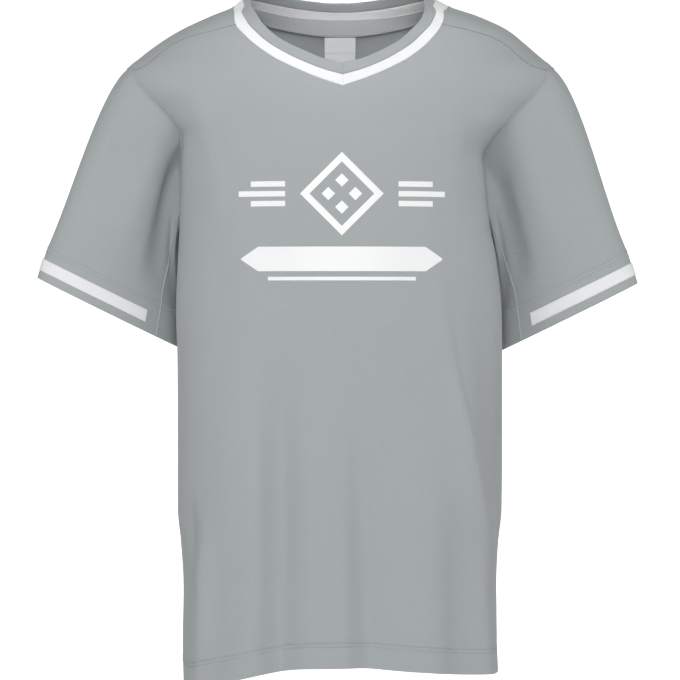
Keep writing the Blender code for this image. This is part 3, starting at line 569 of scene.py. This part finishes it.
def shoulderCourse(side):
    start, end = armholeCourses(side)[0][-1], neckHalf(side, 0)[0][-1]
    middle = [(float(turnFromWidth(row[1 + (side > 0)], row[0])), row[0])
              for row in body["shoulderSeam"]]
    return curvePoints([start, *middle, end], body["shoulderColumns"] * detail)


def spanned(left, right, foot, top):
    v = np.linspace(0, 1, len(left))[:, None, None]
    u = np.linspace(0, 1, len(foot))[None, :, None]
    return (
        (1 - u) * left[:, None] + u * right[:, None] + (1 - v) * foot[None] + v * top[None]
        - (1 - u) * (1 - v) * foot[0] - u * (1 - v) * foot[-1]
        - (1 - u) * v * top[0] - u * v * top[-1]
    )


def eased(grid):
    # the elliptic rule, which keeps a layout's cells from folding over
    flat = grid * (body["turnLength"], 1.0)
    for _ in range(body["easingRounds"]):
        along = flat[1:-1, 2:] - flat[1:-1, :-2]
        across = flat[2:, 1:-1] - flat[:-2, 1:-1]
        twist = flat[2:, 2:] - flat[2:, :-2] - flat[:-2, 2:] + flat[:-2, :-2]
        a = (across * across).sum(-1, keepdims=True)
        b = (across * along).sum(-1, keepdims=True)
        c = (along * along).sum(-1, keepdims=True)
        beside = flat[1:-1, 2:] + flat[1:-1, :-2]
        above = flat[2:, 1:-1] + flat[:-2, 1:-1]
        goal = (a * beside + c * above - 0.5 * b * twist) / (2 * (a + c))
        flat[1:-1, 1:-1] += 0.8 * (goal - flat[1:-1, 1:-1])
    return flat / (body["turnLength"], 1.0)


def refined(grid, axis):
    grid = np.moveaxis(grid, axis, 0)
    cells = len(grid) - 1
    ends = np.concatenate([2 * grid[:1] - grid[1:2], grid, 2 * grid[-1:] - grid[-2:-1]])
    places = np.arange(cells * detail + 1) / detail
    i = np.minimum(places.astype(int), cells - 1)
    t = (places - i)[:, None, None]
    fine = between(*(ends[i + n] for n in range(4)), t)
    return np.moveaxis(fine, 0, axis)


def layout(left, right, foot, top):
    # eased on the plain layout's few cells, then refined and fitted to the fine borders
    grid = refined(refined(eased(spanned(*(c[::detail] for c in (left, right, foot, top)))), 0), 1)
    return grid + spanned(left - grid[:, 0], right - grid[:, -1], foot - grid[0], top - grid[-1])


def hemCourse(start, end, cells):
    turns = np.linspace(start, end, cells + 1)
    return np.stack([turns, hemUnder(turns)], -1)


def frontLayout():
    left, right = (np.vstack([sideSeam(side), armholeCourses(side)[0][1:]]) for side in (-1, 1))
    top = np.vstack([
        shoulderCourse(-1), neckHalf(-1, 0)[0][::-1][1:], neckHalf(1, 0)[0][1:],
        shoulderCourse(1)[::-1][1:],
    ])
    foot = hemCourse(-body["sideSeamTurn"], body["sideSeamTurn"], len(top) - 1)
    return layout(left, right, foot, top)


def backLayout():
    # turns run on past half a turn, so that the back is one sheet
    fullTurn = np.array([2 * math.pi, 0])
    right, left = (
        np.vstack([sideSeam(side), armholeCourses(side)[1][1:], shoulderCourse(side)[1:]])
        for side in (1, -1)
    )
    top = np.vstack([neckHalf(1, 0)[1], (neckHalf(-1, 0)[1] + fullTurn)[::-1][1:]])
    seamTurn = body["sideSeamTurn"]
    foot = hemCourse(seamTurn, 2 * math.pi - seamTurn, len(top) - 1)
    return layout(right, left + fullTurn, foot, top)


# Meshes from grids of points

def newPiece(name, points, faces, uvs, material):
    mesh = bpy.data.meshes.new(name)
    mesh.from_pydata((np.asarray(points) * millimetre).tolist(), [], np.asarray(faces).tolist())
    mesh.uv_layers.new(name="clothUv").data.foreach_set("uv", np.asarray(uvs, "f").ravel())
    mesh.shade_smooth()
    mesh.set_sharp_from_angle(angle=math.radians(50))
    mesh.materials.append(material)
    piece = bpy.data.objects.new(name, mesh)
    bpy.context.scene.collection.objects.link(piece)
    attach(piece, "root")
    return piece


def standFor(node):
    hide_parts(node)


def signedVolume(points, faces):
    a, b, c, d = (points[faces[:, n]] for n in range(4))
    return (a * np.cross(b, c)).sum() + (a * np.cross(c, d)).sum()


def gridFaces(rows, columns, closed=False):
    # corners as row and column numbers, before they wrap round
    i, j = np.meshgrid(np.arange(rows - 1 + closed), np.arange(columns - 1 + closed),
                       indexing="ij")
    i, j = i.ravel(), j.ravel()
    return np.stack([i, i, i + 1, i + 1], -1), np.stack([j, j + 1, j + 1, j], -1)


def tubePiece(name, grid, girth, section, material):
    # a section carried round a ring, both closed
    rows, columns = grid.shape[:2]
    i, j = gridFaces(rows, columns, True)
    faces = (i % rows) * columns + j % columns
    corners = np.stack(np.meshgrid(girth, section), -1)[i, j]
    points = grid.reshape(-1, 3)
    if signedVolume(points, faces) < 0:
        faces, corners = faces[:, ::-1], corners[:, ::-1]
    return newPiece(name, points, faces, corners.reshape(-1, 2), material)


def arcUvs(grid):
    # millimetres along each row from its middle, and up each column
    along, up = np.zeros((2, *grid.shape[:2]))
    along[:, 1:] = np.cumsum(np.linalg.norm(np.diff(grid, axis=1), axis=2), axis=1)
    along -= along[:, grid.shape[1] // 2][:, None]
    up[1:] = np.cumsum(np.linalg.norm(np.diff(grid, axis=0), axis=2), axis=0)
    return np.stack([along, up], -1)


def shellPiece(name, outside, inside, material):
    rows, columns = outside.shape[:2]
    count = rows * columns
    i, j = gridFaces(rows, columns)
    outer = i * columns + j
    places = np.arange(count).reshape(rows, columns)
    rims = [np.stack([b, a, a + count, b + count], -1) for a, b in (
        (border[:-1], border[1:])
        for border in (places[0], places[:, -1], places[-1, ::-1], places[::-1, 0])
    )]
    faces = np.concatenate([outer, outer[:, ::-1] + count, *rims])
    points = np.concatenate([outside.reshape(-1, 3), inside.reshape(-1, 3)])
    if signedVolume(points, faces) < 0:
        faces = faces[:, ::-1]
    corners = arcUvs(outside).reshape(-1, 2)[faces % count]
    return newPiece(name, points, faces, corners.reshape(-1, 2), material)


# Front and back panels

def panelPiece(name, node, chart):
    turn, z = np.moveaxis(chart, -1, 0)
    aboveStitches = z - hemUnder(turn) - body["hemDepth"]
    turnedUp = 1 - smoothStep(*body["hemFades"], aboveStitches)
    wall = body["wall"] + (body["hemWall"] - body["wall"]) * turnedUp
    # the turned-up hem shows as a low step above its stitches
    step = body["hemStep"] * np.exp(-(aboveStitches / body["hemStepWidth"]) ** 2)
    normal = bodyNormal(turn, z)
    outside = bodyPoint(turn, z) - normal * step[..., None]
    piece = shellPiece(name, outside, outside - normal * wall[..., None], meshCloth)
    standFor(node)


panelPiece("frontPanelCloth", "front_panel", frontLayout())
panelPiece("backPanelCloth", "back_panel", backLayout())
print("front and back ready")


# Sleeves and underarm panels

sleeve = {
    # x and z of the oval's outer end, half its width; how far the back leaves the body sideways
    "left": {"seam": (-245.5, -191.0, 64.8), "hem": (-254.5, -216.7, 68.4), "backLeaves": 5},
    "right": {"seam": (241.0, -194.0, 62.8), "hem": (250.3, -221.4, 66.8), "backLeaves": 20},
    "cuffSlope": math.radians(26.3), "cuffYaw": math.radians(18),
    "cuffHalfDepth": 33, "cuffOuterY": 4,
    "leaveTop": np.array((0.80, 0.0, -0.60)) * 90, "leaveFoot": np.array((0.36, 0.20, -0.92)) * 70,
    "backStarts": (8, 26),  # y over which the armhole turns from front to back
    "arriveOuter": np.array((0.42, 0.0, -0.91)) * 140,
    "arriveInner": np.array((-0.06, 0.35, -0.93)) * 70,
    "folds": [  # turn in degrees from the inner line through the front, half width, height, ends
        (62, 16, -4.0, 0.05, 1.0), (96, 16, 2.5, 0.10, 0.9), (132, 14, -2.0, 0.15, 0.8),
        (-70, 18, -3.5, 0.05, 1.0), (-112, 16, 2.5, 0.10, 0.9), (80, 7, 1.0, 0.2, 0.95),
        (112, 8, -1.0, 0.1, 0.8), (146, 8, 0.9, 0.05, 0.7), (34, 15, -3.6, 0.02, 1.1),
        (-50, 9, 1.0, 0.1, 0.9), (-92, 8, -1.0, 0.15, 0.9), (-140, 9, -0.9, 0.05, 0.7),
    ],
    "wall": 0.9, "rows": 9, "gussetColumns": 6, "gussetAtArmhole": 1.0, "gussetAtCuff": 3.3,
    "gussetWidensFrom": 0.15, "foldFades": 0.3,
    "cuffFrom": 0.15, "cuffWall": 2.2, "cuffRound": 0.9, "stripeTop": 0.37, "stripeFoot": 0.74,
    "stripeEdge": 0.4, "stripeProud": 0.8, "stripeEdgeProud": 0.45, "stripeUnder": 0.1,
}


class SleeveForm:
    # an armhole blended into the oval of its cuff; k counts the plain layout's cells round it
    def __init__(self, side):
        self.side = side
        self.name = "left" if side < 0 else "right"
        before, behind = armholeCourses(side)
        turn, z = np.concatenate([before, behind[::-1][1:-1]]).T
        self.armhole, self.armholeNormal = bodyPoint(turn, z), bodyNormal(turn, z)
        self.count = len(self.armhole) // detail
        self.top = detail * int(np.argmax(np.abs(self.armhole[::detail, 0])))
        run = runRound(self.armhole)
        atTop = run[self.top]
        past = (run - atTop) / (run[-1] - atTop)
        self.turns = math.pi * np.where(run <= atTop, run / atTop, 1 + past)
        slope, yaw = sleeve["cuffSlope"], sleeve["cuffYaw"]
        flat = np.array((-side * math.cos(slope), 0, -math.sin(slope)))
        back = np.array((0, 1, 0))
        self.major = flat * math.cos(yaw) + back * math.sin(yaw)
        self.minor = back * math.cos(yaw) - flat * math.sin(yaw)

    def atArmhole(self, k):
        place = (k * detail) % len(self.armhole)
        n = np.floor(place).astype(int) % len(self.armhole)
        t = (place - n)[..., None]
        return self.armhole[n] * (1 - t) + self.armhole[(n + 1) % len(self.armhole)] * t

    def turn(self, k):
        wraps = np.floor(k / self.count)
        return np.interp((k - wraps * self.count) * detail, np.arange(len(self.turns)),
                         self.turns) + wraps * 2 * math.pi

    def oval(self, end, turn):
        x, z, halfWidth = sleeve[self.name][end]
        centre = np.array((x, sleeve["cuffOuterY"], z)) + self.major * halfWidth
        return (centre + self.major * halfWidth * np.cos(turn)[..., None]
                - self.minor * sleeve["cuffHalfDepth"] * np.sin(turn)[..., None])

    def plain(self, k, v):
        k, v = np.broadcast_arrays(np.asarray(k, float), np.asarray(v, float))
        start, turn = self.atArmhole(k), self.turn(k)
        out = ((1 - np.cos(turn)) / 2)[..., None]
        underarm = body["underarm"]
        high = ((start[..., 2] - underarm) / (self.armhole[self.top, 2] - underarm))[..., None]
        mirror = (self.side, 1, 1)
        behind = smoothStep(*sleeve["backStarts"], start[..., 1])
        foot = np.broadcast_to(sleeve["leaveFoot"], start.shape).copy()
        foot[..., 0] += (sleeve[self.name]["backLeaves"] - foot[..., 0]) * behind
        leave = (foot * (1 - high) + sleeve["leaveTop"] * high) * mirror
        arrive = (sleeve["arriveInner"] * (1 - out) + sleeve["arriveOuter"] * out) * mirror
        return hermite(start, leave, self.oval("seam", turn), arrive, v[..., None])

    def normal(self, k, v, surface=None):
        surface = surface or self.point
        around = surface(k + 0.3, v) - surface(k - 0.3, v)
        along = surface(k, np.minimum(v + 0.02, 1.0)) - surface(k, np.maximum(v - 0.02, 0.0))
        return unit(np.cross(along, around) * self.side)

    def point(self, k, v):
        k, v = np.broadcast_arrays(np.asarray(k, float), np.asarray(v, float))
        degrees = np.degrees(self.turn(k))
        fades = sleeve["foldFades"]
        lift = np.zeros_like(v)
        for turn, halfWidth, height, start, end in sleeve["folds"]:
            off = ((degrees - turn + 180) % 360 - 180) / halfWidth
            strength = smoothStep(start, start + fades, v) * (1 - smoothStep(end - fades, end, v))
            lift = lift + height * strength * np.exp(-off * off)
        return self.plain(k, v) + self.normal(k, v, self.plain) * lift[..., None]

    def onSleeve(self, k, v, out):
        return self.point(k, v) + self.normal(k, v) * out

    def cuffPoint(self, k, v):
        turn = self.turn(np.asarray(k, float))
        v = np.asarray(v, float)[..., None]
        return self.oval("seam", turn) * (1 - v) + self.oval("hem", turn) * v

    def onCuff(self, k, v, out):
        k, v = np.broadcast_arrays(np.asarray(k, float), np.asarray(v, float))
        around = self.cuffPoint(k + 0.3, v) - self.cuffPoint(k - 0.3, v)
        along = self.cuffPoint(k, np.ones_like(v)) - self.cuffPoint(k, np.zeros_like(v))
        normal = unit(np.cross(along, around) * self.side)
        return self.cuffPoint(k, v) + normal * np.asarray(out)[..., None]

    def gussetEdge(self, v):
        low, high = sleeve["gussetAtArmhole"], sleeve["gussetAtCuff"]
        return low + (high - low) * smoothStep(sleeve["gussetWidensFrom"], 1, v)

    def alongStripe(self, inset, count):
        edge = sleeve["gussetAtCuff"]
        inset = inset * (self.count - 2 * edge) / (self.count - 2)
        return np.linspace(edge + inset, self.count - edge - inset, count)


sleeves = {-1: SleeveForm(-1), 1: SleeveForm(1)}


def sleevePieces(form):
    v = np.linspace(0, 1, sleeve["rows"] * detail + 1)[:, None]
    edge = form.gussetEdge(v)
    mainSteps = np.linspace(0, 1, (form.count - 2) * detail + 1)
    gussetSteps = np.linspace(-1, 1, sleeve["gussetColumns"] * detail + 1)
    for name, node, k, flat, area in (
        ("sleeveCloth", "sleeve_", edge + (form.count - 2 * edge) * mainSteps, (0.31, 0.15), 0.0355),
        ("underarmPanelCloth", "underarm_panel_", edge * gussetSteps, (0.07, 0.075), 0.0028),
    ):
        outside = form.point(k, v)
        inside = outside - form.normal(k, v) * sleeve["wall"]
        piece = shellPiece(name + form.name.capitalize(), outside, inside, meshCloth)
        standFor(node + form.name)


for form in sleeves.values():
    sleevePieces(form)
print("sleeves ready")


# Cuffs: a doubled band with a rounded foot, and a stripe sewn on it

def bandProfile(low, high, wall, roundness):
    # round a band's section: up its outside from low to high, and back down its inside
    corner = [(roundness * (1 - math.cos(c)), roundness * (1 - math.sin(c)))
              for c in np.linspace(0, math.pi / 2, 4)]
    rounded = [(low + p, -q) for p, q in corner]
    rounded += [(t, 0.0) for t in np.linspace(low + roundness, high - roundness, 8)[1:-1]]
    rounded += [(high - q, -p) for p, q in corner]
    return np.array(rounded + [(p, -wall - out) for p, out in rounded[::-1]])


def cuffPieces(form):
    k = np.linspace(0, form.count, form.count * detail * 2 + 1)
    length = float(np.linalg.norm(form.cuffPoint(0.0, 1.0) - form.cuffPoint(0.0, 0.0)))
    profile = bandProfile(sleeve["cuffFrom"], length, sleeve["cuffWall"], sleeve["cuffRound"])
    grid = form.onCuff(k[:-1], profile[:, :1] / length, profile[:, 1:])
    girth = runAlong(form.cuffPoint(k, np.full_like(k, 0.5)))
    title = form.name.capitalize()
    cuff = tubePiece("cuffCloth" + title, grid, girth, runRound(profile), cuffCloth)
    standFor("cuff_" + form.name)

    low, high = sleeve["stripeTop"] * length, sleeve["stripeFoot"] * length
    inner = np.linspace(low + sleeve["stripeEdge"], high - sleeve["stripeEdge"], 9)
    levels = np.array([low, *inner, high])[:, None]
    proud = np.full_like(levels, sleeve["stripeProud"])
    proud[[0, -1]] = sleeve["stripeEdgeProud"]
    k = form.alongStripe(1.0, 150)
    outside, inside = (form.onCuff(k, levels / length, out)
                       for out in (proud, sleeve["stripeUnder"]))
    stripe = shellPiece("cuffStripeCloth" + title, outside, inside, whiteKnit)
    standFor("cuff_stripe_" + form.name)


for form in sleeves.values():
    cuffPieces(form)
print("cuffs ready")


# Collar: a white band next to the body and a grey band at the neck edge, mitred at the V

def neckRing(edge, places=None):
    # all round from the V through the right, at even steps or at the given shares of the way
    right, left = (np.vstack([front, back[1:]])
                   for front, back in (neckHalf(side, edge) for side in (1, -1)))
    fullTurn = (2 * math.pi, 0)
    ring = np.vstack([right, (left + fullTurn)[::-1][1:]])
    ring[-1] = ring[0] + fullTurn
    if places is None:
        return ring
    steps = np.linspace(0, 1, len(ring))
    return np.stack([np.interp(places, steps, column) for column in ring.T], -1)


def collarPieces():
    mitre = collar["mitre"]
    places = np.array([*mitre, *np.linspace(0.01, 0.99, 190), *(1 - p for p in mitre[::-1])])
    groove = collar["groove"] * np.exp(
        -(np.minimum(places, 1 - places) / collar["grooveWidth"]) ** 2)
    low, high = collar["section"]
    profile = bandProfile(low, high, collar["wall"], collar["round"])
    profile[:, 0] = (profile[:, 0] - low) / (high - low)
    share = (collar["seam"] + profile[:, :1] * (1 - 2 * collar["seam"]))[..., None]
    rise = collar["proud"] + profile[:, 1:] - groove * (profile[:, 1:] > collar["grooveDepth"])
    rings = [neckRing(edge, places) for edge in (0.0, 0.5, 1.0)]
    for name, node, near, far, material, slot, flat in (
        ("collarStripeCloth", "collar_stripe", *rings[:2], whiteKnit, "white_knit", (0.50, 0.0125)),
        ("collarBandCloth", "collar_band", *rings[1:], greyKnit, "grey_knit", (0.45, 0.0125)),
    ):
        turn, z = np.moveaxis(near * (1 - share) + far * share, -1, 0)
        grid = onBody(turn, z, rise)[:, :-1]
        start = bodyPoint(*near.T)
        width = np.linalg.norm(bodyPoint(*far.T) - start, axis=1).mean()
        section = runRound(profile * (width, 1.0))
        piece = tubePiece(name, grid, runAlong(start), section, material)
        standFor(node)


collarPieces()
print("collar ready")


# Neck tape and label, inside the back neck

neck = {
    "tapeTurn": math.radians(100), "stitchUp": 1.6,
    "tapeRows": [(-2.0, 0.3), (5.0, 1.1), (13.0, 1.4)],  # down from the seam, under the back
    "panelWall": 1.6, "tapeWall": 0.8,
    "labelWidth": 27, "labelHeight": 20, "labelLean": 2.5, "labelWall": 0.7, "labelDown": 0.6,
    "labelFold": (0.59, 0.65), "foldSink": 0.5, "threadOut": 0.1, "labelThreadOut": 0.12,
}


def downSurface(turn, z, distance):
    start = bodyPoint(turn, z)
    near, far = z + 0.0 * turn, z - 2.0 * distance + 0.0 * turn
    for _ in range(24):
        middle = (near + far) / 2
        short = np.linalg.norm(bodyPoint(turn, middle) - start, axis=-1) < abs(distance)
        near, far = np.where(short, middle, near), np.where(short, far, middle)
    return near


def neckTape():
    turn, top = neckRing(0.0).T
    shown = (turn > neck["tapeTurn"]) & (turn < 2 * math.pi - neck["tapeTurn"])
    turn, top = turn[shown], top[shown]
    downs = np.linspace(neck["tapeRows"][0][0], neck["tapeRows"][-1][0], 10)
    unders = np.interp(downs, *zip(*neck["tapeRows"]))
    z = np.array([downSurface(turn, top, down) for down in downs])
    turn = np.broadcast_to(turn, z.shape)
    normal = bodyNormal(turn, z)
    outside = bodyPoint(turn, z) - normal * (neck["panelWall"] + unders)[:, None, None]
    # the tape's lighter colour is painted light against the shade inside the back neck
    piece = shellPiece("neckTapeCloth", outside, outside - normal * neck["tapeWall"], lightenedTapeTwill)
    standFor("neck_tape")
    foot = outside[-1] - normal[-1] * (neck["tapeWall"] + neck["threadOut"])
    return foot - unit(outside[-1] - outside[-2]) * neck["stitchUp"]


def neckLabel():
    down, under = neck["tapeRows"][-1]
    top = float(downSurface(np.array(math.pi), np.array(collar["back"][-1][1]),
                            down + neck["labelDown"]))
    s = np.linspace(0, 1, 25)[:, None]
    x = neck["labelWidth"] * (np.linspace(0, 1, 29) - 0.5)[None]
    x, z = np.broadcast_arrays(x, top - neck["labelHeight"] * s)
    turn = turnFromWidth(x, z, -1.0)
    normal = bodyNormal(turn, z, plainBody)
    folded = smoothStep(*neck["labelFold"], s)
    sunk = neck["panelWall"] + under + neck["labelLean"] * s + neck["foldSink"] * (1 - folded)
    outside = plainBody(turn, z) - normal * sunk[..., None]
    inside = outside - normal * neck["labelWall"]
    piece = shellPiece("neckLabelCloth", outside, inside, wovenLabel)
    standFor("neck_label")
    return (inside - normal * neck["labelThreadOut"])[1, 1:-1]


tapeFoot = neckTape()
labelTop = neckLabel()
print("tape and label ready")


# Seam rolls and stitches, laid along paths by Geometry Nodes

seams = {
    "roll": {"Radius": 0.95, "Step": 1.6, "Pucker": 0.35},
    "stitch": {"Pitch": 3.4, "Length": 2.5, "Width": 0.55},
    "shoulderStitch": {"Pitch": 3.4, "Length": 2.5, "Width": 0.8},
    "armholeRow": 3.2, "neckRow": 2.0, "needleGap": 3.2,  # off the seam, or between the rows
    "cuffRow": 0.13, "stripeRow": 0.045, "stripeInset": 1.4, "stripeOut": 0.85,
    "out": 0.1, "cuffOut": 0.12, "hemOut": 0.02, "shoulderOut": 0.25,
    "gussetOut": -0.3, "cuffSeamOut": -0.55, "sideOut": -0.35,
}


def pathTree(name, sizes):
    tree = bpy.data.node_groups.new(name, "GeometryNodeTree")
    kinds = {"Path": "Geometry", **dict.fromkeys(sizes, "Float"), "Material": "Material"}
    for socket, kind in kinds.items():
        tree.interface.new_socket(socket, in_out="INPUT", socket_type="NodeSocket" + kind)
    tree.interface.new_socket("Pieces", in_out="OUTPUT", socket_type="NodeSocketGeometry")
    given = addNode(tree, "NodeGroupInput").outputs
    return tree, given, addNode(tree, "GeometryNodeMeshToCurve", {0: given["Path"]})


def closeTree(tree, given, shape):
    painted = addNode(tree, "GeometryNodeSetMaterial", {0: shape, "Material": given["Material"]})
    whole = addNode(tree, "GeometryNodeRealizeInstances", {0: painted})
    addNode(tree, "NodeGroupOutput", {0: whole})
    return tree


def seamRollTree():
    tree, given, curve = pathTree("seamRoll", seams["roll"])
    even = addNode(tree, "GeometryNodeResampleCurve",
                   {"mode": "LENGTH", "Curve": curve, "Length": given["Step"]})
    section = addNode(tree, "GeometryNodeCurvePrimitiveCircle",
                      {"Resolution": 8, "Radius": given["Radius"]})
    roll = addNode(tree, "GeometryNodeCurveToMesh",
                   {"Fill Caps": True, "Curve": even, "Profile Curve": section})
    uneven = addNode(tree, "ShaderNodeTexNoise", {"Scale": 170.0, "Detail": 2.0})
    centred = addNode(tree, "ShaderNodeVectorMath", {
        "operation": "SUBTRACT", 0: uneven.outputs["Color"], 1: (0.5, 0.5, 0.5)})
    shift = addNode(tree, "ShaderNodeVectorMath",
                    {"operation": "SCALE", 0: centred, "Scale": given["Pucker"]})
    moved = addNode(tree, "GeometryNodeSetPosition", {0: roll, "Offset": shift})
    return closeTree(tree, given, addNode(tree, "GeometryNodeSetShadeSmooth", {0: moved}))


def stitchRowTree():
    tree, given, curve = pathTree("stitchRow", seams["stitch"])
    points = addNode(tree, "GeometryNodeCurveToPoints",
                     {"mode": "LENGTH", 0: curve, "Length": given["Pitch"]})
    bead = addNode(tree, "GeometryNodeMeshUVSphere", {"Segments": 6, "Rings": 4, "Radius": 0.5})
    size = addNode(tree, "ShaderNodeCombineXYZ",
                   {0: given["Width"], 1: given["Width"], 2: given["Length"]})
    laid = addNode(tree, "GeometryNodeInstanceOnPoints", {
        "Points": points, "Instance": bead, "Rotation": points.outputs["Rotation"],
        "Scale": size})
    return closeTree(tree, given, laid)


def alongPaths(name, tree, paths, sizes, material):
    points, edges = [], []
    for path, looped in paths:
        first = len(points)
        points += (np.asarray(path) * millimetre).tolist()
        last = len(points)
        edges += [(n, n + 1) for n in range(first, last - 1)]
        if looped:
            edges.append((last - 1, first))
    mesh = bpy.data.meshes.new(name)
    mesh.from_pydata(points, edges, [])
    piece = bpy.data.objects.new(name, mesh)
    bpy.context.scene.collection.objects.link(piece)
    modifier = piece.modifiers.new("pieces", "NODES")
    modifier.node_group = tree
    inputs = {size: length * millimetre for size, length in sizes.items()}
    inputs["Material"] = material
    for item in tree.interface.items_tree:
        if item.in_out == "INPUT" and item.name in inputs:
            modifier[item.identifier] = inputs[item.name]
    evaluated = piece.evaluated_get(bpy.context.evaluated_depsgraph_get())
    built = bpy.data.meshes.new_from_object(evaluated)
    piece.modifiers.clear()
    piece.data = built
    built.name = name
    built.shade_smooth()
    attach(piece, "root")


def beside(points, distance, normals):
    # a line this far to one side of another, over the surface
    tangent = unit(np.gradient(points, axis=0))
    return points + unit(np.cross(tangent, normals)) * distance


rollPaths, stitchPaths, shoulderPaths, whitePaths = [], [], [], []
for side, form in sleeves.items():
    k = np.arange(len(form.armhole)) / detail
    both = unit(form.armholeNormal + form.normal(k, np.zeros_like(k)))
    rollPaths.append((form.armhole + both * seams["out"], True))
    onPanel = beside(form.armhole, seams["armholeRow"] * side, form.armholeNormal)
    stitchPaths.append((onPanel + form.armholeNormal * seams["out"], True))
    v, w = np.linspace(0, 1, 60), np.linspace(0.02, 0.97, 20)
    for sign in (-1, 1):
        down = form.onSleeve(sign * form.gussetEdge(v), v, seams["gussetOut"])
        overCuff = form.onCuff(sign * sleeve["gussetAtCuff"], w, seams["gussetOut"])
        rollPaths.append((np.vstack([down, overCuff]), False))
    k = np.linspace(0, form.count, 240, endpoint=False)
    rollPaths.append((form.onCuff(k, 0.0, seams["cuffSeamOut"]), True))
    stitchPaths.append((form.onCuff(k, seams["cuffRow"], seams["cuffOut"]), True))
    k = form.alongStripe(seams["stripeInset"], 160)
    for v in (sleeve["stripeTop"] + seams["stripeRow"], sleeve["stripeFoot"] - seams["stripeRow"]):
        whitePaths.append((form.onCuff(k, v, seams["stripeOut"]), False))
    shoulderPaths.append((onBody(*shoulderCourse(side).T, seams["shoulderOut"]), False))
    rollPaths.append((onBody(*sideSeam(side).T, seams["sideOut"]), False))

turns = np.linspace(-math.pi, math.pi, 600, endpoint=False)
for up in (body["hemDepth"], body["hemDepth"] - seams["needleGap"]):
    stitchPaths.append((onBody(turns, hemUnder(turns) + up, seams["hemOut"]), True))
ring = neckRing(0.0)[:-1].T
outsideRing = onBody(*ring, seams["out"])
stitchPaths.append((beside(outsideRing, seams["neckRow"], bodyNormal(*ring)), True))
stitchPaths.append((tapeFoot, False))
whitePaths.append((labelTop, False))

rollTree, stitchTree = seamRollTree(), stitchRowTree()
for name, tree, paths, sizes, material, slot in (
    ("seamRolls", rollTree, rollPaths, "roll", meshCloth, "mesh_cloth"),
    ("greyStitches", stitchTree, stitchPaths, "stitch", greyThread, "mesh_cloth"),
    # the shoulder stitches' darker thread is painted shade, standing for the seam fold's shadow line
    ("shoulderStitchesPaintedShade", stitchTree, shoulderPaths, "shoulderStitch", seamShadowThread, "mesh_cloth"),
    ("whiteStitches", stitchTree, whitePaths, "stitch", whiteThread, "white_knit"),
):
    alongPaths(name, tree, paths, seams[sizes], material)
print("seams and stitches ready")


# Chest print: plain shapes of the builder's own, in white ink on the front

chest = {
    "centreX": 1.5, "diamondZ": -150, "diamondHalf": 34, "diamondLine": 5.5,
    "squareHalf": 5.5, "squareOut": 11,
    "sideBars": [(46, 74, 4.5, 8), (46, 84, 4.5, 0), (46, 74, 4.5, -8)],  # x from, to, high, up
    "barZ": -203, "barHalf": 82, "barHigh": 20, "pointLong": 14,
    "lineZ": -219, "lineHalf": 60, "lineHigh": 3,
    "pointHalfHigh": 0.6, "lift": 0.22, "cell": 2.5,
}


def box(x, z, halfWide, halfHigh):
    return [(x + halfWide * a, z + halfHigh * b) for a, b in ((-1, -1), (1, -1), (1, 1), (-1, 1))]


def inkShapes():
    # each a quadrilateral of x and z, in the order foot left, foot right, top right, top left
    shapes = []
    x0, z0 = chest["centreX"], chest["diamondZ"]
    far, near = chest["diamondHalf"], chest["diamondHalf"] - chest["diamondLine"] * math.sqrt(2)
    ways = [(math.cos(math.radians(90 * n)), math.sin(math.radians(90 * n))) for n in range(5)]
    for a, b in zip(ways, ways[1:]):
        shapes.append([(x0 + reach * way[0], z0 + reach * way[1])
                       for reach, way in ((far, a), (far, b), (near, b), (near, a))])
    half = chest["squareHalf"]
    for across, up in ways[:4]:
        x, z = x0 + chest["squareOut"] * across, z0 + chest["squareOut"] * up
        shapes.append([(x, z - half), (x + half, z), (x, z + half), (x - half, z)])
    for start, end, high, up in chest["sideBars"]:
        for side in (-1, 1):
            middle = x0 + side * (start + end) / 2
            shapes.append(box(middle, z0 + up, (end - start) / 2, high / 2))
    z, half, high, point = chest["barZ"], chest["barHalf"], chest["barHigh"] / 2, chest["pointLong"]
    shapes.append(box(x0, z, half - point, high))
    tip = chest["pointHalfHigh"]
    for side in (-1, 1):
        a, b = x0 + side * (half - point), x0 + side * half
        shapes.append([(a, z - high), (b, z - tip), (b, z + tip), (a, z + high)])
    shapes.append(box(x0, chest["lineZ"], chest["lineHalf"], chest["lineHigh"] / 2))
    return shapes


def chestPrint():
    points, faces, uvs, first = [], [], [], 0
    for shape in inkShapes():
        a, b, c, d = (np.array(corner, float) for corner in shape)
        wide = max(np.linalg.norm(b - a), np.linalg.norm(c - d))
        high = max(np.linalg.norm(d - a), np.linalg.norm(c - b))
        columns, rows = (max(2, math.ceil(size / chest["cell"]) + 1) for size in (wide, high))
        u = np.linspace(0, 1, columns)[None, :, None]
        v = np.linspace(0, 1, rows)[:, None, None]
        flat = ((a * (1 - u) + b * u) * (1 - v) + (d * (1 - u) + c * u) * v).reshape(-1, 2)
        x, z = flat.T
        ink = onBody(turnFromWidth(x, z), z, chest["lift"])
        i, j = gridFaces(rows, columns)
        quads = i * columns + j
        foot, right, top = ink[quads[0, :3]]
        if np.cross(right - foot, top - foot)[1] > 0:
            quads = quads[:, ::-1]
        uvs.append(flat[quads].reshape(-1, 2))
        points.append(ink)
        faces.append(quads + first)
        first += len(ink)
    newPiece("chestPrint", np.concatenate(points), np.concatenate(faces), np.concatenate(uvs),
             whiteInk)


chestPrint()
print("chest print ready")
